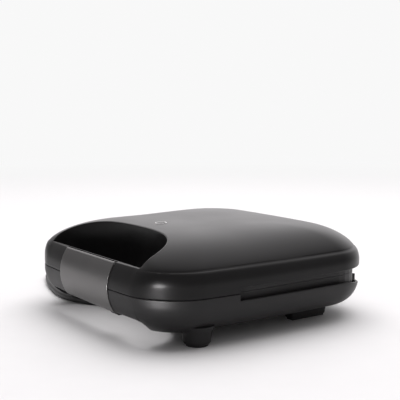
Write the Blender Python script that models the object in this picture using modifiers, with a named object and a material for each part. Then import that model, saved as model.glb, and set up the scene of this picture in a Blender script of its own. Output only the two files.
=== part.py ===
"""Sandwich grill: two hinged shells with grill plates, a looped handle and a swing clip.

Metres, +Z up. The front with the handle faces -Y, the hinge is at +Y and the origin is on
the table under the middle of the housing.
"""
import math

import bmesh
import bpy
import numpy as np
from mathutils import Matrix, Vector

# Overall plan of the housing
half_width = 0.120
half_depth = 0.1214
front_corner_radius = 0.043
rear_corner_radius = 0.049
side_bow = 0.0050
front_bow = 0.0053
corner_steps = 8
edge_steps = 5

# Heights above the table
parting_height = 0.0410
parting_gap = 0.0003
band_height = 0.0212
dome_rise = 0.0213
lower_lip_drop = 0.0055
upper_lip_rise = 0.0052
bowl_depth = 0.0312
handle_drop = 0.0210
handle_land_rise = 0.0003

# Form of the shells
wall = 0.0025
crease_inset = 0.0052
bowl_reach = 0.040
front_radius = 0.0345
front_run = 0.020
dome_power_front = 4.1
dome_power_rear = 5.6
dome_root = 1.22
dome_rear_share = 0.3
least_share = 0.01
floor_share = 0.55
band_shares = (
    (0.10, 0.0),
    (0.04, 0.226),
    (0.0, 0.462),
    (0.10, 0.65),
    (0.35, 0.82),
    (0.67, 0.943),
    (1.0, 1.0),
)
bowl_shares = (
    (0.0075, 0.0, 0.0, 0.0),
    (0.005, 0.176, 0.20, 0.0),
    (0.025, 0.353, 0.40, 0.0),
    (0.07, 0.513, 0.60, 0.0),
    (0.15, 0.68, 0.77, 0.0),
    (0.2625, 0.808, 0.90, 0.0),
    (0.425, 0.917, 1.0, 0.15),
    (0.65, 0.981, 1.0, 0.45),
    (1.0, 1.0, 1.0, 1.0),
)
dome_shares = (0.985, 0.955, 0.91, 0.85, 0.76, 0.62, 0.42)
front_blend_inset = 0.0264
front_fade = 0.015
front_side_inset = 0.020
front_side_fade = 0.028

# Side step and rear slope of the rims
step_inset = 0.0774
rear_slope_run = 0.0494
rear_slope_drop = 0.0081

# Opening behind the handle
opening_side_inset = 0.0415
handle_bar_depth = 0.0120
opening_depth = 0.0455
opening_power = 2.6
opening_steps = 20
opening_wall = 0.0022

# Clearances and overruns
gap = 0.0003
overrun = 0.004

# Swing clip over the handle
clip_half_width = 0.0437
clip_thickness = 0.0026
clip_side_gap = 0.0004
clip_back_gap = 0.0004
clip_bottom_gap = 0.0005
clip_roll_radius = 0.0020
clip_pivot_inset = 0.00815
clip_pivot_drop = 0.0021
clip_arc_steps = 14
clip_pin_radius = 0.0010
clip_pin_reach = 0.0050

# Hinge
hinge_drop = 0.0040
hinge_inset = 0.0048
hinge_knuckle_radius = 0.0029
hinge_pin_radius = 0.0015
hinge_side_inset = 0.0620
hinge_ear_width = 0.0047
hinge_lug_width = 0.0060
hinge_pin_tail = 0.0006
ear_root_drop = 0.0170
ear_foot_thickness = 0.0022
lug_rise = 0.0110
guard_side_inset = 0.0373
guard_width = 0.0034
guard_inset = 0.0078
guard_depth = 0.0028
guard_drop = 0.0082
guard_root_drop = 0.0165

# Feet
front_foot_side_inset = 0.022
front_foot_inset = 0.0504
front_foot_top_radius = 0.0130
front_foot_radius = 0.0108
rear_foot_side_inset = 0.0385
rear_foot_inset = 0.0634
rear_foot_length = 0.040
rear_foot_width = 0.0115
rear_foot_flare = 0.0020
foot_height = 0.0017
pad_inset = 0.0018
foot_root_rise = 0.0102

# Inner frames
frame_inset = 0.0066
frame_front_inset = 0.0739
frame_corner_radius = 0.012
frame_wall = 0.0020
frame_depth = 0.0155
ledge_drop = 0.0064
ledge_thickness = 0.0016
ledge_inset = 0.026
deck_inset = 0.0045
deck_thickness = 0.0022

# Grill plates
plate_inset = 0.0090
plate_gap = 0.0005
plate_rim = 0.0025
plate_floor_drop = 0.0041
plate_floor = 0.0020
rib_side_inset = 0.0300
rib_width = 0.0026
rib_height = 0.0016
rib_front_gap = 0.0060
rib_rear_gap = 0.0100
rib_pitch = 0.0128
boss_offset = 0.035
boss_radius = 0.0050
boss_length = 0.0067
plate_middle_inset = 0.0914

# Heating elements
heater_radius = 0.0032
heater_side_inset = 0.048
heater_front_inset = 0.1034
heater_back_inset = 0.0434
heater_corner = 0.016
heater_end_offset = 0.014
heater_tail = 0.0015
heater_bend = 0.0100
clamp_side_inset = 0.040
clamp_width = 0.012
clamp_thickness = 0.0012

# Reflector pans
pan_side_inset = 0.0305
pan_front_inset = 0.0924
pan_back_inset = 0.0329
pan_corner = 0.020
pan_flange = 0.0075
pan_sheet = 0.0008
pan_hole_radius = 0.0056

# Frame screws and their bosses
screw_side_inset = 0.0210
screw_front_inset = 0.0874
screw_back_inset = 0.0374
screw_boss_radius = 0.0052
screw_head_radius = 0.0029
screw_head_height = 0.0018
screw_shank_radius = 0.0013
screw_bore_radius = 0.0033
screw_seat_drop = 0.0180
plate_screw_reach = 0.0045

# Small inner pieces
fuse_radius = 0.0022
fuse_length = 0.014
thermostat_radius = 0.0080
thermostat_height = 0.0078
thermostat_cap_radius = 0.0055
thermostat_cap_share = 0.55
thermostat_inset = 0.0674
block_width = 0.024
block_length = 0.014
block_height = 0.0090
block_inset = 0.0424
wire_radius = 0.0012
lead_bend = 0.0045
lead_run = 0.0120
lead_meet = 0.0100
lead_point_spacing = 0.0035
base_lead_share = 0.6
lamp_lead_shares = (0.15, 0.5, 0.85)
lamp_radius = 0.0030
lamp_length = 0.0120
lens_radius = 0.0047
lens_depth = 0.0060
bezel_width = 0.0007
bezel_depth = 0.0016
lens_stand = 0.0003
lamp_inset = 0.0789

# Cord, its gland and its plug
cord_radius = 0.00325
cord_offset = 0.046
cord_drop = 0.0205
gland_boss_radius = 0.0080
gland_boss_inset = 0.0030
gland_boss_depth = 0.0049
gland_neck_radius = 0.0045
gland_neck_length = 0.0066
gland_collar_radius = 0.0064
gland_collar_length = 0.0020
gland_root_radius = 0.0056
gland_tip_radius = 0.0041
gland_length = 0.0280
gland_rings = 4
gland_groove = 0.0006
gland_ring_shares = (0.65, 0.72, 0.93)
cord_point_spacing = 0.015
coil_centre = (-0.1900, 0.0090)
coil_outer_radius = 0.0380
coil_turns = 2.0
coil_pitch = 0.0071
coil_points = 24
tie_lift = 0.0011
tie_spread = 0.55
tie_thickness = 0.0008
tie_width = 0.0090
tie_angle = 0.0
plug_length = 0.0330
plug_width = 0.0240
plug_height = 0.0180
plug_neck_length = 0.0200
plug_neck_radius = 0.0050
plug_neck_shares = (1.4, 1.1)
plug_cord_run = 0.0330
blade_length = 0.0170
blade_width = 0.0064
blade_thickness = 0.0015
blade_spacing = 0.0127
cord_route = (
    (-0.04550, 0.16250, 0.01780), (-0.04700, 0.17050, 0.01320), (-0.05200, 0.17800, 0.00880),
    (-0.06000, 0.18380, 0.00540), (-0.07000, 0.18680, 0.00370), (-0.08050, 0.18620, 0.00325),
    (-0.09050, 0.18150, 0.00325), (-0.09850, 0.17350, 0.00325), (-0.10350, 0.16250, 0.00325),
    (-0.10500, 0.15000, 0.00325), (-0.10350, 0.13700, 0.00325), (-0.09850, 0.12400, 0.00325),
    (-0.09100, 0.11100, 0.00325), (-0.08100, 0.09850, 0.00325), (-0.07050, 0.08650, 0.00325),
    (-0.06150, 0.07300, 0.00325), (-0.05450, 0.05750, 0.00325), (-0.04900, 0.04100, 0.00325),
    (-0.04400, 0.02400, 0.00325), (-0.04000, 0.00600, 0.00325), (-0.03800, -0.01200, 0.00325),
    (-0.03900, -0.03000, 0.00325), (-0.04350, -0.04750, 0.00325), (-0.05250, -0.06400, 0.00325),
    (-0.06550, -0.07750, 0.00325), (-0.08350, -0.08600, 0.00325), (-0.10400, -0.08860, 0.00325),
    (-0.12420, -0.08660, 0.00325), (-0.14200, -0.08250, 0.00325), (-0.16200, -0.07680, 0.00325),
    (-0.18230, -0.06900, 0.00325), (-0.20160, -0.06000, 0.00325), (-0.21700, -0.04600, 0.00325),
    (-0.22550, -0.02900, 0.00325), (-0.22780, -0.01400, 0.00325),
)

# Worked out from the sizes above
crease_height = parting_height + band_height
lower_lip_height = parting_height - lower_lip_drop
upper_lip_height = parting_height + upper_lip_rise
bowl_bottom_height = parting_height - bowl_depth
handle_bottom_height = parting_height - handle_drop
handle_top_height = crease_height + handle_land_rise
front_start = half_depth - front_blend_inset
front_half_span = half_width - front_side_inset
step_front = half_depth - step_inset
rear_slope_start = half_depth - rear_slope_run
opening_half_width = half_width - opening_side_inset
opening_front = half_depth - handle_bar_depth
clip_bottom_height = handle_bottom_height + clip_bottom_gap
clip_pivot_height = handle_top_height - clip_pivot_drop
hinge_height = parting_height - hinge_drop
hinge_inner = half_width - hinge_side_inset
ear_foot_height = parting_height - ear_root_drop
lug_top_height = parting_height + lug_rise
guard_offset = half_width - guard_side_inset
guard_height = parting_height - guard_drop
guard_foot_height = parting_height - guard_root_drop
front_foot_offset = half_width - front_foot_side_inset
front_foot_back = half_depth - front_foot_inset
rear_foot_offset = half_width - rear_foot_side_inset
rear_foot_middle = half_depth - rear_foot_inset
foot_root_height = bowl_bottom_height + foot_root_rise
frame_front = half_depth - frame_front_inset
rib_count = 2 * int((half_width - rib_side_inset) / rib_pitch) + 1
plate_middle = half_depth - plate_middle_inset
heater_half_span = half_width - heater_side_inset
heater_front = half_depth - heater_front_inset
heater_back = half_depth - heater_back_inset
clamp_length = 2 * (half_width - clamp_side_inset)
pan_half_width = half_width - pan_side_inset
pan_front = half_depth - pan_front_inset
pan_back = half_depth - pan_back_inset
screw_offset = half_width - screw_side_inset
screw_front = half_depth - screw_front_inset
screw_back = half_depth - screw_back_inset
screw_seat_height = parting_height - screw_seat_drop
thermostat_back = half_depth - thermostat_inset
block_back = half_depth - block_inset
lamp_place = half_depth - lamp_inset
cord_height = parting_height - cord_drop
rim_low = parting_height - parting_gap / 2
rim_high = parting_height + parting_gap / 2
handle_mid = front_radius - half_depth
hinge_place = half_depth - hinge_inset
clip_pivot_place = half_depth - clip_pivot_inset
frame_back = half_depth - frame_inset


def clear_scene():
    for item in list(bpy.data.objects):
        bpy.data.objects.remove(item, do_unlink=True)


def make_collection(name):
    group = bpy.data.collections.new(name)
    bpy.context.scene.collection.children.link(group)
    return group


clear_scene()
parts = make_collection("sandwich_grill")
cutters = make_collection("cutters")


def make_material(name, colour, roughness, metallic):
    material = bpy.data.materials.new(name)
    material.use_nodes = True
    shader = material.node_tree.nodes["Principled BSDF"]
    shader.inputs["Base Color"].default_value = (*colour, 1.0)
    shader.inputs["Roughness"].default_value = roughness
    shader.inputs["Metallic"].default_value = metallic
    material.diffuse_color = (*colour, 1.0)
    return material


def black_plastic():
    return make_material("black_plastic", (0.020, 0.020, 0.021), 0.42, 0.0)


def clip_plastic():
    return make_material("clip_plastic", (0.035, 0.035, 0.035), 0.36, 0.0)


def frame_plastic():
    return make_material("frame_plastic", (0.028, 0.027, 0.028), 0.5, 0.0)


def foot_rubber():
    return make_material("foot_rubber", (0.015, 0.015, 0.015), 0.8, 0.0)


def coated_aluminium():
    return make_material("coated_aluminium", (0.030, 0.030, 0.032), 0.38, 0.3)


def sheet_steel():
    return make_material("sheet_steel", (0.55, 0.55, 0.56), 0.35, 1.0)


def heater_steel():
    return make_material("heater_steel", (0.22, 0.21, 0.20), 0.5, 0.9)


def cord_rubber():
    return make_material("cord_rubber", (0.016, 0.016, 0.017), 0.55, 0.0)


def white_print():
    return make_material("white_print", (0.75, 0.75, 0.74), 0.5, 0.0)


def lamp_glass():
    return make_material("lamp_glass", (0.60, 0.18, 0.08), 0.1, 0.0)


def block_ceramic():
    return make_material("block_ceramic", (0.72, 0.70, 0.64), 0.6, 0.0)


def brass_metal():
    return make_material("brass_metal", (0.70, 0.55, 0.28), 0.3, 1.0)


def place_object(name, mesh, collection, material=None):
    item = bpy.data.objects.new(name, mesh)
    collection.objects.link(item)
    if material is not None:
        mesh.materials.clear()
        mesh.materials.append(material)
    return item


def shade_round(item, angle=35.0):
    item.data.shade_smooth()
    item.data.set_sharp_from_angle(angle=math.radians(angle))


def mesh_from(builder, name):
    work = bmesh.new()
    builder(work)
    bmesh.ops.recalc_face_normals(work, faces=work.faces)
    mesh = bpy.data.meshes.new(name)
    work.to_mesh(mesh)
    work.free()
    return mesh


def boolean(target, operand, operation):
    change = target.modifiers.new(operation.lower(), "BOOLEAN")
    change.operation = operation
    change.object = operand
    change.solver = "EXACT"
    operand.hide_render = True
    operand.display_type = "WIRE"
    if operand.name not in cutters.objects:
        cutters.objects.link(operand)
    if operand.name in parts.objects:
        parts.objects.unlink(operand)


def cut(target, *operands):
    for operand in operands:
        boolean(target, operand, "DIFFERENCE")


def join(target, *operands):
    for operand in operands:
        boolean(target, operand, "UNION")


# Shape functions
def ease(share):
    share = min(max(share, 0.0), 1.0)
    return share * share * (3.0 - 2.0 * share)


def bow(x, y):
    """The sides and the ends of the plan bulge a little: corners are drawn in."""
    return (
        x * (1.0 - side_bow / half_width * (y / half_depth) ** 2),
        y * (1.0 - front_bow / half_depth * (x / half_width) ** 2),
    )


def outline(inset):
    """Plan of the housing drawn in by inset, counter-clockwise from the right side."""
    corners = (
        (half_width - rear_corner_radius, half_depth - rear_corner_radius, rear_corner_radius, 0),
        (rear_corner_radius - half_width, half_depth - rear_corner_radius, rear_corner_radius, 1),
        (front_corner_radius - half_width, front_corner_radius - half_depth, front_corner_radius, 2),
        (half_width - front_corner_radius, front_corner_radius - half_depth, front_corner_radius, 3),
    )
    points = []
    for number, (cx, cy, radius, quarter) in enumerate(corners):
        for step in range(corner_steps + 1):
            angle = math.radians(90.0 * (quarter + step / corner_steps))
            reach = radius - inset
            points.append((cx + reach * math.cos(angle), cy + reach * math.sin(angle)))
        nx, ny, next_radius, next_quarter = corners[(number + 1) % 4]
        turn = math.radians(90.0 * next_quarter)
        reach = next_radius - inset
        start, end = points[-1], (nx + reach * math.cos(turn), ny + reach * math.sin(turn))
        for step in range(1, edge_steps):
            share = step / edge_steps
            points.append(tuple(a * (1.0 - share) + b * share for a, b in zip(start, end)))
    return [bow(x, y) for x, y in points]


def front_weight(x, y):
    """One on the handle's front, nought on the sides and past the front corners."""
    along = ease((-y - front_start) / front_fade)
    return along * ease((front_half_span - abs(x)) / front_side_fade)


def front_inset(height):
    """How far the handle's round front stands back at a height."""
    drop = height - parting_height
    return front_radius - math.sqrt(front_radius**2 - drop**2)


def blended_ring(side, front):
    """A level ring: (inset, height) on the sides, turning into another at the handle."""
    whole, on_side, on_front = outline(0.0), outline(side[0]), outline(front[0])
    ring = []
    for (x, y), (sx, sy), (fx, fy) in zip(whole, on_side, on_front):
        share = front_weight(x, y)
        ring.append(Vector((
            sx * (1.0 - share) + fx * share,
            sy * (1.0 - share) + fy * share,
            side[1] * (1.0 - share) + front[1] * share,
        )))
    return ring


def bowl_rings(offset, shares=bowl_shares):
    """Lower shell from its rim down, drawn in and lifted by offset."""
    depth = parting_height - bowl_bottom_height
    front_depth = parting_height - handle_bottom_height
    rings = []
    for reach, drop, front_drop, run in shares:
        front_height = parting_height - front_drop * front_depth
        side = (reach * bowl_reach + offset, parting_height - drop * (depth - offset))
        front = (
            front_inset(front_height) + run * front_run + offset,
            parting_height - front_drop * (front_depth - offset),
        )
        rings.append(blended_ring(side, front))
    floor = bowl_bottom_height + offset
    rings.append([Vector((p.x * floor_share, p.y * floor_share, floor)) for p in rings[-1]])
    return rings


def dome_level(share, y, offset):
    """The lid's top: its height falls off with a power of the share of the way to the crease."""
    rear = ease(dome_rear_share + y / half_depth)
    power = dome_power_front + (dome_power_rear - dome_power_front) * rear
    return crease_height + (dome_rise - offset) * (1.0 - share**power) ** (1.0 / dome_root)


def dome_ring(share, offset):
    ring = []
    for x, y in outline(crease_inset + offset):
        ring.append(Vector((x * share, y * share, dome_level(share, y, offset))))
    return ring


def dome_height(x, y):
    """Height of the lid's top over a place: the share comes from the crease line's edges."""
    line = outline(crease_inset)
    share = 0.0
    for (ax, ay), (bx, by) in zip(line, line[1:] + line[:1]):
        share = max(share, ((by - ay) * x - (bx - ax) * y) / ((by - ay) * ax - (bx - ax) * ay))
    return dome_level(share, y / max(share, least_share), 0.0)


def band_rings(offset):
    """Side band of the lid from the crease down to the parting plane."""
    height = crease_height - parting_height
    rings = []
    for reach, rise in reversed(band_shares):
        level = parting_height + rise * height
        side = (reach * crease_inset + offset, level)
        front = (front_inset(level) + offset, level)
        rings.append(blended_ring(side, front))
    return rings


def loft(name, rings, collection):
    """A closed solid through level rings of equal count, with a fan at each end."""
    def build(work):
        rows = [[work.verts.new(point) for point in ring] for ring in rings]
        count = len(rows[0])
        for upper, lower in zip(rows, rows[1:]):
            for k in range(count):
                n = (k + 1) % count
                work.faces.new((upper[k], upper[n], lower[n], lower[k]))
        for row in (rows[0], rows[-1]):
            middle = sum((vert.co for vert in row), Vector()) / count
            pole = work.verts.new(middle)
            for k in range(count):
                work.faces.new((pole, row[k], row[(k + 1) % count]))
        bmesh.ops.triangulate(work, faces=work.faces)
    return place_object(name, mesh_from(build, name), collection)


def flat_solid(name, points, low, high, collection, axis="Z"):
    """A flat outline given thickness from low to high along Z, or along X from (y, z) points."""
    curve = bpy.data.curves.new(name, "CURVE")
    curve.dimensions = "2D"
    curve.fill_mode = "BOTH"
    curve.extrude = (high - low) / 2
    spline = curve.splines.new("POLY")
    spline.points.add(len(points) - 1)
    for spot, (u, v) in zip(spline.points, points):
        spot.co = (u, v, 0.0, 1.0)
    spline.use_cyclic_u = True
    item = bpy.data.objects.new(name, curve)
    collection.objects.link(item)
    if axis == "X":
        turn = Matrix(((0, 0, 1, 0), (1, 0, 0, 0), (0, 1, 0, 0), (0, 0, 0, 1)))
        item.matrix_world = Matrix.Translation(((low + high) / 2, 0.0, 0.0)) @ turn
    else:
        item.location.z = (low + high) / 2
    return made_mesh(item)


def made_mesh(item):
    """Turns a curve object into a mesh object with welded caps, in place."""
    bpy.context.view_layer.update()
    graph = bpy.context.evaluated_depsgraph_get()
    mesh = bpy.data.meshes.new_from_object(item.evaluated_get(graph))
    work = bmesh.new()
    work.from_mesh(mesh)
    bmesh.ops.remove_doubles(work, verts=work.verts, dist=gap / 100)
    bmesh.ops.recalc_face_normals(work, faces=work.faces)
    work.to_mesh(mesh)
    work.free()
    name, place, home = item.name, item.matrix_world.copy(), item.users_collection[0]
    bpy.data.objects.remove(item, do_unlink=True)
    result = bpy.data.objects.new(name, mesh)
    mesh.name = name
    home.objects.link(result)
    result.matrix_world = place
    return result


def block(name, low, high, collection):
    """A box between two corners."""
    low, high = Vector(low), Vector(high)

    def build(work):
        bmesh.ops.create_cube(work, size=1.0)
        bmesh.ops.scale(work, verts=work.verts, vec=high - low)
    item = place_object(name, mesh_from(build, name), collection)
    item.location = (low + high) / 2
    return item


def drum(name, start, end, radius, collection, far_radius=None, sides=16):
    """A cylinder or cone from start to end."""
    start, end = Vector(start), Vector(end)
    length = (end - start).length
    last = radius if far_radius is None else far_radius

    def build(work):
        bmesh.ops.create_cone(
            work,
            cap_ends=True,
            segments=sides,
            radius1=radius,
            radius2=last,
            depth=length,
        )
    item = place_object(name, mesh_from(build, name), collection)
    item.rotation_mode = "QUATERNION"
    item.rotation_quaternion = Vector((0.0, 0.0, 1.0)).rotation_difference(end - start)
    item.location = (start + end) / 2
    return item


def tube(name, points, radius, collection, resolution=2):
    """A round wire through points, with filled caps, as a closed mesh."""
    curve = bpy.data.curves.new(name, "CURVE")
    curve.dimensions = "3D"
    curve.bevel_depth = radius
    curve.bevel_resolution = resolution
    curve.use_fill_caps = True
    spline = curve.splines.new("POLY")
    spline.points.add(len(points) - 1)
    for spot, point in zip(spline.points, points):
        spot.co = (*point, 1.0)
    item = bpy.data.objects.new(name, curve)
    collection.objects.link(item)
    return made_mesh(item)


def turned(name, profile, start, direction, collection, sides=16):
    """A profile of (radius, distance) pairs turned about a line from start along direction."""
    def build(work):
        verts = [work.verts.new((radius, 0.0, along)) for radius, along in profile]
        for a, b in zip(verts, verts[1:]):
            work.edges.new((a, b))
    mesh = bpy.data.meshes.new(name)
    work = bmesh.new()
    build(work)
    work.to_mesh(mesh)
    work.free()
    item = place_object(name, mesh, collection)
    screw = item.modifiers.new("turn", "SCREW")
    screw.steps = sides
    screw.render_steps = sides
    screw.use_merge_vertices = True
    screw.merge_threshold = gap / 100
    item.rotation_mode = "QUATERNION"
    item.rotation_quaternion = Vector((0.0, 0.0, 1.0)).rotation_difference(Vector(direction))
    item.location = start
    return item


def finish(item, material, round_shape=False):
    """Puts a finished piece in the parts collection with its material."""
    if item.name not in parts.objects:
        parts.objects.link(item)
    if item.name in cutters.objects:
        cutters.objects.unlink(item)
    item.data.materials.clear()
    item.data.materials.append(material)
    if round_shape:
        shade_round(item)
    return item


def opening_outline(grow):
    """Plan of the hand opening: half a superellipse on a straight front edge."""
    across, deep = opening_half_width + grow, opening_depth + 2 * grow
    front = -opening_front - grow
    points = []
    for step in range(opening_steps + 1):
        angle = math.pi * step / opening_steps
        u, v = math.cos(angle), math.sin(angle)
        x = math.copysign(abs(u) ** (2.0 / opening_power), u) * across
        y = front + abs(v) ** (2.0 / opening_power) * deep
        points.append((x, y))
    return points


def opening_over_handle():
    """The same plan carried forward over the handle bar."""
    front = -half_depth - overrun
    return opening_outline(0.0) + [(-opening_half_width, front), (opening_half_width, front)]


def clip_back(offset, low_height):
    """Points (y, z) down the clip's seat: behind its roll, then along its round front."""
    pivot_y, pivot_z = -clip_pivot_place, clip_pivot_height
    roll = clip_roll_radius + offset
    arc = front_radius - clip_thickness - offset
    points = [(pivot_y + roll, crease_height + overrun)]
    meet = pivot_z - roll
    for step in range(5):
        angle = math.radians(90.0 * step / 4)
        points.append((pivot_y + roll * math.cos(angle), pivot_z - roll * math.sin(angle)))
    top = math.asin((meet - parting_height) / arc)
    bottom = math.asin((low_height - parting_height) / arc)
    for step in range(1, clip_arc_steps + 1):
        angle = top + (bottom - top) * step / clip_arc_steps
        points.append((handle_mid - arc * math.cos(angle), parting_height + arc * math.sin(angle)))
    return points


def clip_seat_cutter(name):
    """What the handle loses so that the clip lies flush in it."""
    reach = clip_half_width + clip_side_gap
    back = clip_back(clip_back_gap, handle_bottom_height - overrun / 2)
    front = -half_depth - overrun
    points = back + [(front, back[-1][1]), (front, back[0][1])]
    return flat_solid(name, points, -reach, reach, cutters, axis="X")


def step_cutter(name, low, high):
    """Clears the rims behind the side step, from low to high."""
    reach = half_width + overrun
    return block(name, (-reach, -step_front, low), (reach, half_depth + overrun, high), cutters)


def slope_cutter(name):
    """Lowers the rear of the lower rim so that the lid can swing back."""
    start, end = rear_slope_start, half_depth
    slope = rear_slope_drop / (end - start)
    far = end + overrun
    points = [
        (start, lower_lip_height),
        (far, lower_lip_height - slope * (far - start)),
        (far, rim_high),
        (start, rim_high),
    ]
    reach = half_width + overrun
    return flat_solid(name, points, -reach, reach, cutters, axis="X")


def hollow(name, rings, low, high, bosses):
    """The hollow inside a shell, kept off the hand opening's walls, the handle bar and bosses."""
    space = loft(name, rings, cutters)
    tunnel = flat_solid(name + "_tunnel", opening_outline(opening_wall), low, high, cutters)
    reach = opening_half_width + opening_wall
    core_back = -opening_front
    core = block(name + "_core", (-reach, -half_depth - overrun, low), (reach, core_back, high), cutters)
    cut(space, tunnel, core, *bosses)
    return space


def screw_bosses(name, low, high):
    """Columns that the frame's screws go into."""
    return [
        drum(f"{name}_{number}", (x, y, low), (x, y, high), screw_boss_radius, cutters)
        for number, (x, y) in enumerate(frame_places())
    ]


def frame_places():
    """Where the four frame screws stand."""
    return [
        (side * screw_offset, y)
        for y in (-screw_front, screw_back)
        for side in (-1, 1)
    ]


def hinge_profile(direction, reach_height, outer_y, foot):
    """Side view (y, z) of a hinge knuckle with its root; direction is -1 below, 1 above."""
    radius, y0, z0 = hinge_knuckle_radius, hinge_place, hinge_height
    points = []
    for step in range(9):
        angle = math.radians(180.0 * step / 8)
        points.append((y0 + radius * math.cos(angle), z0 - direction * radius * math.sin(angle)))
    points.append((y0 - radius, reach_height))
    points.append((outer_y - foot, reach_height))
    points.append((outer_y, z0 + direction * (abs(reach_height - z0) / 2)))
    return points


def hinge_spans():
    """Lower ear, upper lug and lower ear along X, on the right side."""
    first = hinge_inner
    second = first + hinge_ear_width + gap
    third = second + hinge_lug_width + gap
    return (
        (first, first + hinge_ear_width),
        (second, second + hinge_lug_width),
        (third, third + hinge_ear_width),
    )


def mirrored(low, high, side):
    return (low, high) if side > 0 else (-high, -low)


def hinge_bore(name, low, high):
    reach = overrun / 8
    return drum(
        name,
        (low - reach, hinge_place, hinge_height),
        (high + reach, hinge_place, hinge_height),
        hinge_pin_radius + gap,
        cutters,
        sides=12,
    )


def add_hinge_piece(cover, name, span, side, profile):
    low, high = mirrored(*span, side)
    piece = flat_solid(name, profile, low, high, cutters, axis="X")
    join(cover, piece)


def front_foot(name, side):
    """Round foot that grows out of the bowl."""
    place = (side * front_foot_offset, -front_foot_back)
    return drum(
        name,
        (*place, foot_height),
        (*place, foot_root_height),
        front_foot_radius,
        cutters,
        far_radius=front_foot_top_radius,
        sides=24,
    )


def rear_foot(name, side):
    """Long foot beside the bowl's rear corner, wider at its root."""
    middle = (side * rear_foot_offset, rear_foot_middle)
    half = (rear_foot_width / 2, rear_foot_length / 2)
    rings = []
    for height, grow in ((foot_root_height, rear_foot_flare), (foot_height, 0.0)):
        ring = []
        for sx, sy in ((-1, -1), (1, -1), (1, 1), (-1, 1)):
            ring.append(Vector((
                middle[0] + sx * (half[0] + grow),
                middle[1] + sy * (half[1] + grow),
                height,
            )))
        rings.append(ring)
    return loft(name, rings, cutters)


def lower_cover():
    """Base shell with its half of the handle, feet, hinge ears and screw bosses."""
    top = bowl_rings(0.0)
    top[0] = [Vector((p.x, p.y, rim_low)) for p in top[0]]
    cover = loft("lower_cover", top, parts)
    for side, mark in ((1, "right"), (-1, "left")):
        join(cover, front_foot("foot_front_" + mark, side), rear_foot("foot_rear_" + mark, side))
    inner = bowl_rings(wall, bowl_shares[::2])
    lift = [Vector((p.x, p.y, parting_height + overrun)) for p in inner[0]]
    low, high = 0.0, parting_height + 2 * overrun
    boss_top = parting_height - ledge_drop - ledge_thickness - gap
    bosses = screw_bosses("base_boss", 0.0, boss_top)
    cut(cover, hollow("lower_space", [lift] + inner, low, high, bosses))
    gland_face = half_depth - gland_boss_inset
    seat = drum(
        "gland_boss",
        (-cord_offset, gland_face - gland_boss_depth, cord_height),
        (-cord_offset, gland_face, cord_height),
        gland_boss_radius,
        cutters,
        sides=24,
    )
    join(cover, seat)
    opening = flat_solid("lower_opening", opening_outline(0.0), low, high, cutters)
    step = step_cutter("lower_step", lower_lip_height, high)
    cut(cover, opening, step, slope_cutter("lower_slope"), clip_seat_cutter("lower_clip_seat"))
    neck = gland_neck_radius + gap
    cut(cover, drum(
        "gland_hole",
        (-cord_offset, gland_face - gland_boss_depth - 4 * overrun, cord_height),
        (-cord_offset, gland_face + overrun, cord_height),
        neck,
        cutters,
    ))
    for number, (x, y) in enumerate(frame_places()):
        cut(
            cover,
            drum(
                f"base_bore_{number}",
                (x, y, 0.0),
                (x, y, screw_seat_height),
                screw_bore_radius,
                cutters,
                sides=12,
            ),
        )
        cut(
            cover,
            drum(
                f"base_pilot_{number}",
                (x, y, 0.0),
                (x, y, parting_height),
                screw_shank_radius + gap,
                cutters,
                sides=8,
            ),
        )
    ear = hinge_profile(-1, ear_foot_height, hinge_place + hinge_knuckle_radius - gap, ear_foot_thickness)
    for side, mark in ((1, "right"), (-1, "left")):
        first, _, third = hinge_spans()
        add_hinge_piece(cover, "ear_inner_" + mark, first, side, ear)
        add_hinge_piece(cover, "ear_outer_" + mark, third, side, ear)
        low_x, high_x = mirrored(first[0], third[1], side)
        cut(cover, hinge_bore("ear_bore_" + mark, low_x, high_x))
        back = half_depth - guard_inset
        a, b = mirrored(guard_offset - guard_width / 2, guard_offset + guard_width / 2, side)
        join(
            cover,
            block(
                "guard_" + mark,
                (a, back, guard_foot_height),
                (b, back + guard_depth, guard_height),
                cutters,
            ),
        )
    return finish(cover, black_plastic(), True)


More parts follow.
